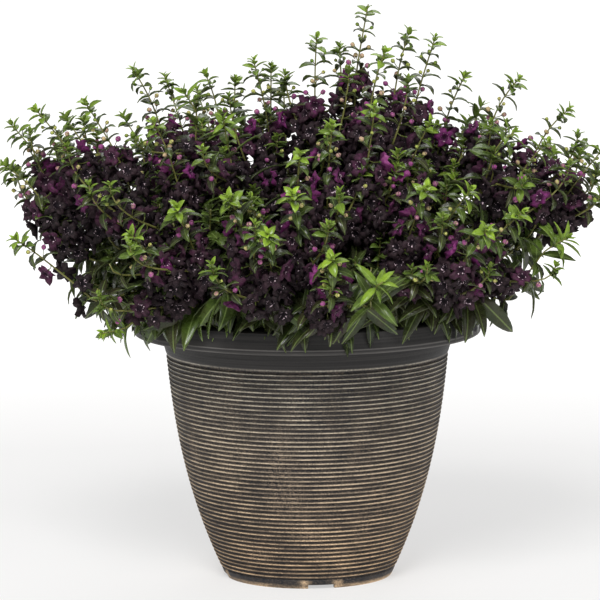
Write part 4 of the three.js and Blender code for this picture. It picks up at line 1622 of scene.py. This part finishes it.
def skirt_shoot(crown, turn, draw, greens):
    """A low shoot whose large leaves lie on the rim or hang over it."""
    seat = CROWNS[crown]
    hanging = draw(0, 1) < HANGING_SHARE
    reach = (draw(156, 178) if hanging else draw(126, 148)) * MM
    away = np.array([math.cos(turn), math.sin(turn), 0.0])
    around = np.array([-math.sin(turn), math.cos(turn), 0.0])
    end = away * reach + UP * draw(250, 272) * MM
    over = end * np.array([BEND_SHARE, BEND_SHARE, 1]) + UP * 12 * MM
    stalk = Stalk(curved(seat, seat + UP * 50 * MM, over, end, 12))
    grow_stem(greens, stalk, SKIRT_BASE, SKIRT_TOP, 0.4, woody=True)
    # Painted light: the leaves on the left are painted brighter, as if that side were lit more
    brighter = BRIGHTER_BY if end[0] < BRIGHT_SIDE else 0
    for k in range(SKIRT_LEAVES):
        place = stalk.at(stalk.length * (1 - SKIRT_STRETCH * k / SKIRT_LEAVES))
        direction = away * draw(0.5, 1.0) + around * draw(-0.9, 0.9) - UP * draw(0.1, 0.8)
        size = draw(1.0, 1.25) if hanging else draw(0.85, 1.15)
        twist = draw(-1.3, 1.3) if hanging else draw(-0.6, 0.6)
        leaf(
            greens,
            LONG_LEAF,
            pose(place, direction, away * 0.5 + UP),
            length=SKIRT_LEAF_LENGTH * size,
            width=SKIRT_LEAF_WIDTH * size,
            bend=draw(0.3, 1.3),
            young=draw(0.02, 0.3) + brighter,
            twist=twist,
        )


def grow_skirt(crown, greens):
    """The low shoots of one crown: of the whole ring, those that stand nearest to it."""
    draw = dice(900 + crown)
    for k in range(SKIRT_SHOOTS):
        turn = (k + draw(-0.3, 0.3)) * 2 * math.pi / SKIRT_SHOOTS
        spot = np.array([OUTER_CIRCLE * math.cos(turn), OUTER_CIRCLE * math.sin(turn)])
        if nearest_crown(spot) == crown:
            skirt_shoot(crown, turn, draw, greens)


def make_plant(green, purple):
    """Each crown's stems and leaves as one piece, its older flowers as one, and each flower head."""
    lines = [shoot_line(index) for index in range(len(SHOOTS))]
    flowering = [line["index"] for line in lines if line["whorls"]]
    for crown in range(len(CROWNS)):
        greens = Bunch("young", "rib", "under", "stem", "wood")
        faded = Bunch("age", "reach", "vein")
        for line in arrange(crown, lines):
            blooms = Bunch("age", "reach", "vein")
            grow_shoot(line, greens, blooms, faded)
            if line["whorls"]:
                number = flowering.index(line["index"]) + 1
                blooms.piece(f"flowers_{number}", purple, "petals", f"flower_head_{number}")
        grow_skirt(crown, greens)
        number = crown + 1
        greens.piece(f"stems_and_leaves_{number}", green, "foliage", f"leafy_stems_{number}")
        if faded.count:
            faded.piece(f"older_flowers_{number}", purple, "petals")


# Floor, light and camera

CAMERA_PLACE = (-6.0 * MM, -3818.2 * MM, 761.7 * MM)
CAMERA_LENS = 264.7
CAMERA_DIP = math.radians(7.75)
CAMERA_ROLL = math.radians(-0.37)

# Each light's name, its place, what it is aimed at, its width and its power
LIGHTS = [
    ("key", (-0.38, -2.75, 2.8), (0, 0, 0.25), 1.6, 112),
    ("fill", (2.2, -2.5, 1.2), (0, 0, 0.25), 2.2, 11),
    ("back", (0.4, 2.6, 2.4), (0, 0, 0.3), 2.4, 30),
]
ROOM_LIGHT = 0.43


def make_floor():
    """A pale floor that gives off light of its own, more strongly further off: painted light that fades it
    into the white room behind it and lightens the shadows on it.
    """
    floor = start(bpy.ops.mesh.primitive_circle_add, vertices=96, radius=12, fill_type="NGON")
    floor.name = "floor"
    finish = Finish("studio_white", Roughness=0.9, Specular_IOR_Level=0.1)
    finish.colour((0.42, 0.415, 0.41, 1))
    finish.shader.inputs["Emission Color"].default_value = (1, 1, 1, 1)
    away = finish.nodes.new("ShaderNodeVectorMath")
    away.operation = "LENGTH"
    finish.links.new(finish.place(), away.inputs[0])
    # Painted light: the floor glows, from about half strength near the pot to nearly full strength far
    # behind it
    glow = finish.band(away.outputs["Value"], 0.7, 2.2, 0.53, 0.95)
    finish.link(glow, finish.shader.inputs["Emission Strength"])
    floor.data.materials.append(finish.material)


def area_light(name, place, aim, size, power):
    """A round lamp turned towards what it is aimed at."""
    light = bpy.data.lights.new(name, "AREA")
    light.shape = "DISK"
    light.size = size
    light.energy = power
    obj = bpy.data.objects.new(name, light)
    bpy.context.scene.collection.objects.link(obj)
    obj.location = place
    direction = np.array(aim) - np.array(place)
    yaw = math.atan2(direction[1], direction[0])
    pitch = math.atan2(direction[2], math.hypot(direction[0], direction[1]))
    obj.rotation_euler = (math.pi / 2 + pitch, 0, yaw - math.pi / 2)


def make_camera():
    """The camera of the photograph, a long way off and a little above the pot."""
    camera = bpy.data.cameras.new("camera")
    camera.sensor_width = 36
    camera.lens = CAMERA_LENS
    camera.clip_end = 50
    obj = bpy.data.objects.new("camera", camera)
    bpy.context.scene.collection.objects.link(obj)
    obj.matrix_world = (
        Matrix.Translation(CAMERA_PLACE)
        @ Matrix.Rotation(math.pi / 2 - CAMERA_DIP, 4, "X")
        @ Matrix.Rotation(CAMERA_ROLL, 4, "Z")
    )
    bpy.context.scene.camera = obj


def make_world():
    """A white room that lights the plant less than it shows."""
    world = bpy.data.worlds.new("studio")
    world.use_nodes = True
    nodes, links = world.node_tree.nodes, world.node_tree.links
    seen = nodes["Background"]
    seen.inputs["Color"].default_value = (1, 1, 1, 1)
    seen.inputs["Strength"].default_value = 1.0
    lighting = nodes.new("ShaderNodeBackground")
    lighting.inputs["Strength"].default_value = ROOM_LIGHT
    ray = nodes.new("ShaderNodeLightPath")
    both = nodes.new("ShaderNodeMixShader")
    links.new(ray.outputs["Is Camera Ray"], both.inputs["Fac"])
    links.new(lighting.outputs["Background"], both.inputs[1])
    links.new(seen.outputs["Background"], both.inputs[2])
    links.new(both.outputs["Shader"], nodes["World Output"].inputs["Surface"])
    bpy.context.scene.world = world


make_pot(copper_finish())
make_soil(soil_finish())
make_plant(leaf_finish(), petal_finish())
make_floor()
for light in LIGHTS:
    area_light(*light)
make_world()
bpy.context.scene.view_settings.view_transform = "Standard"
make_camera()
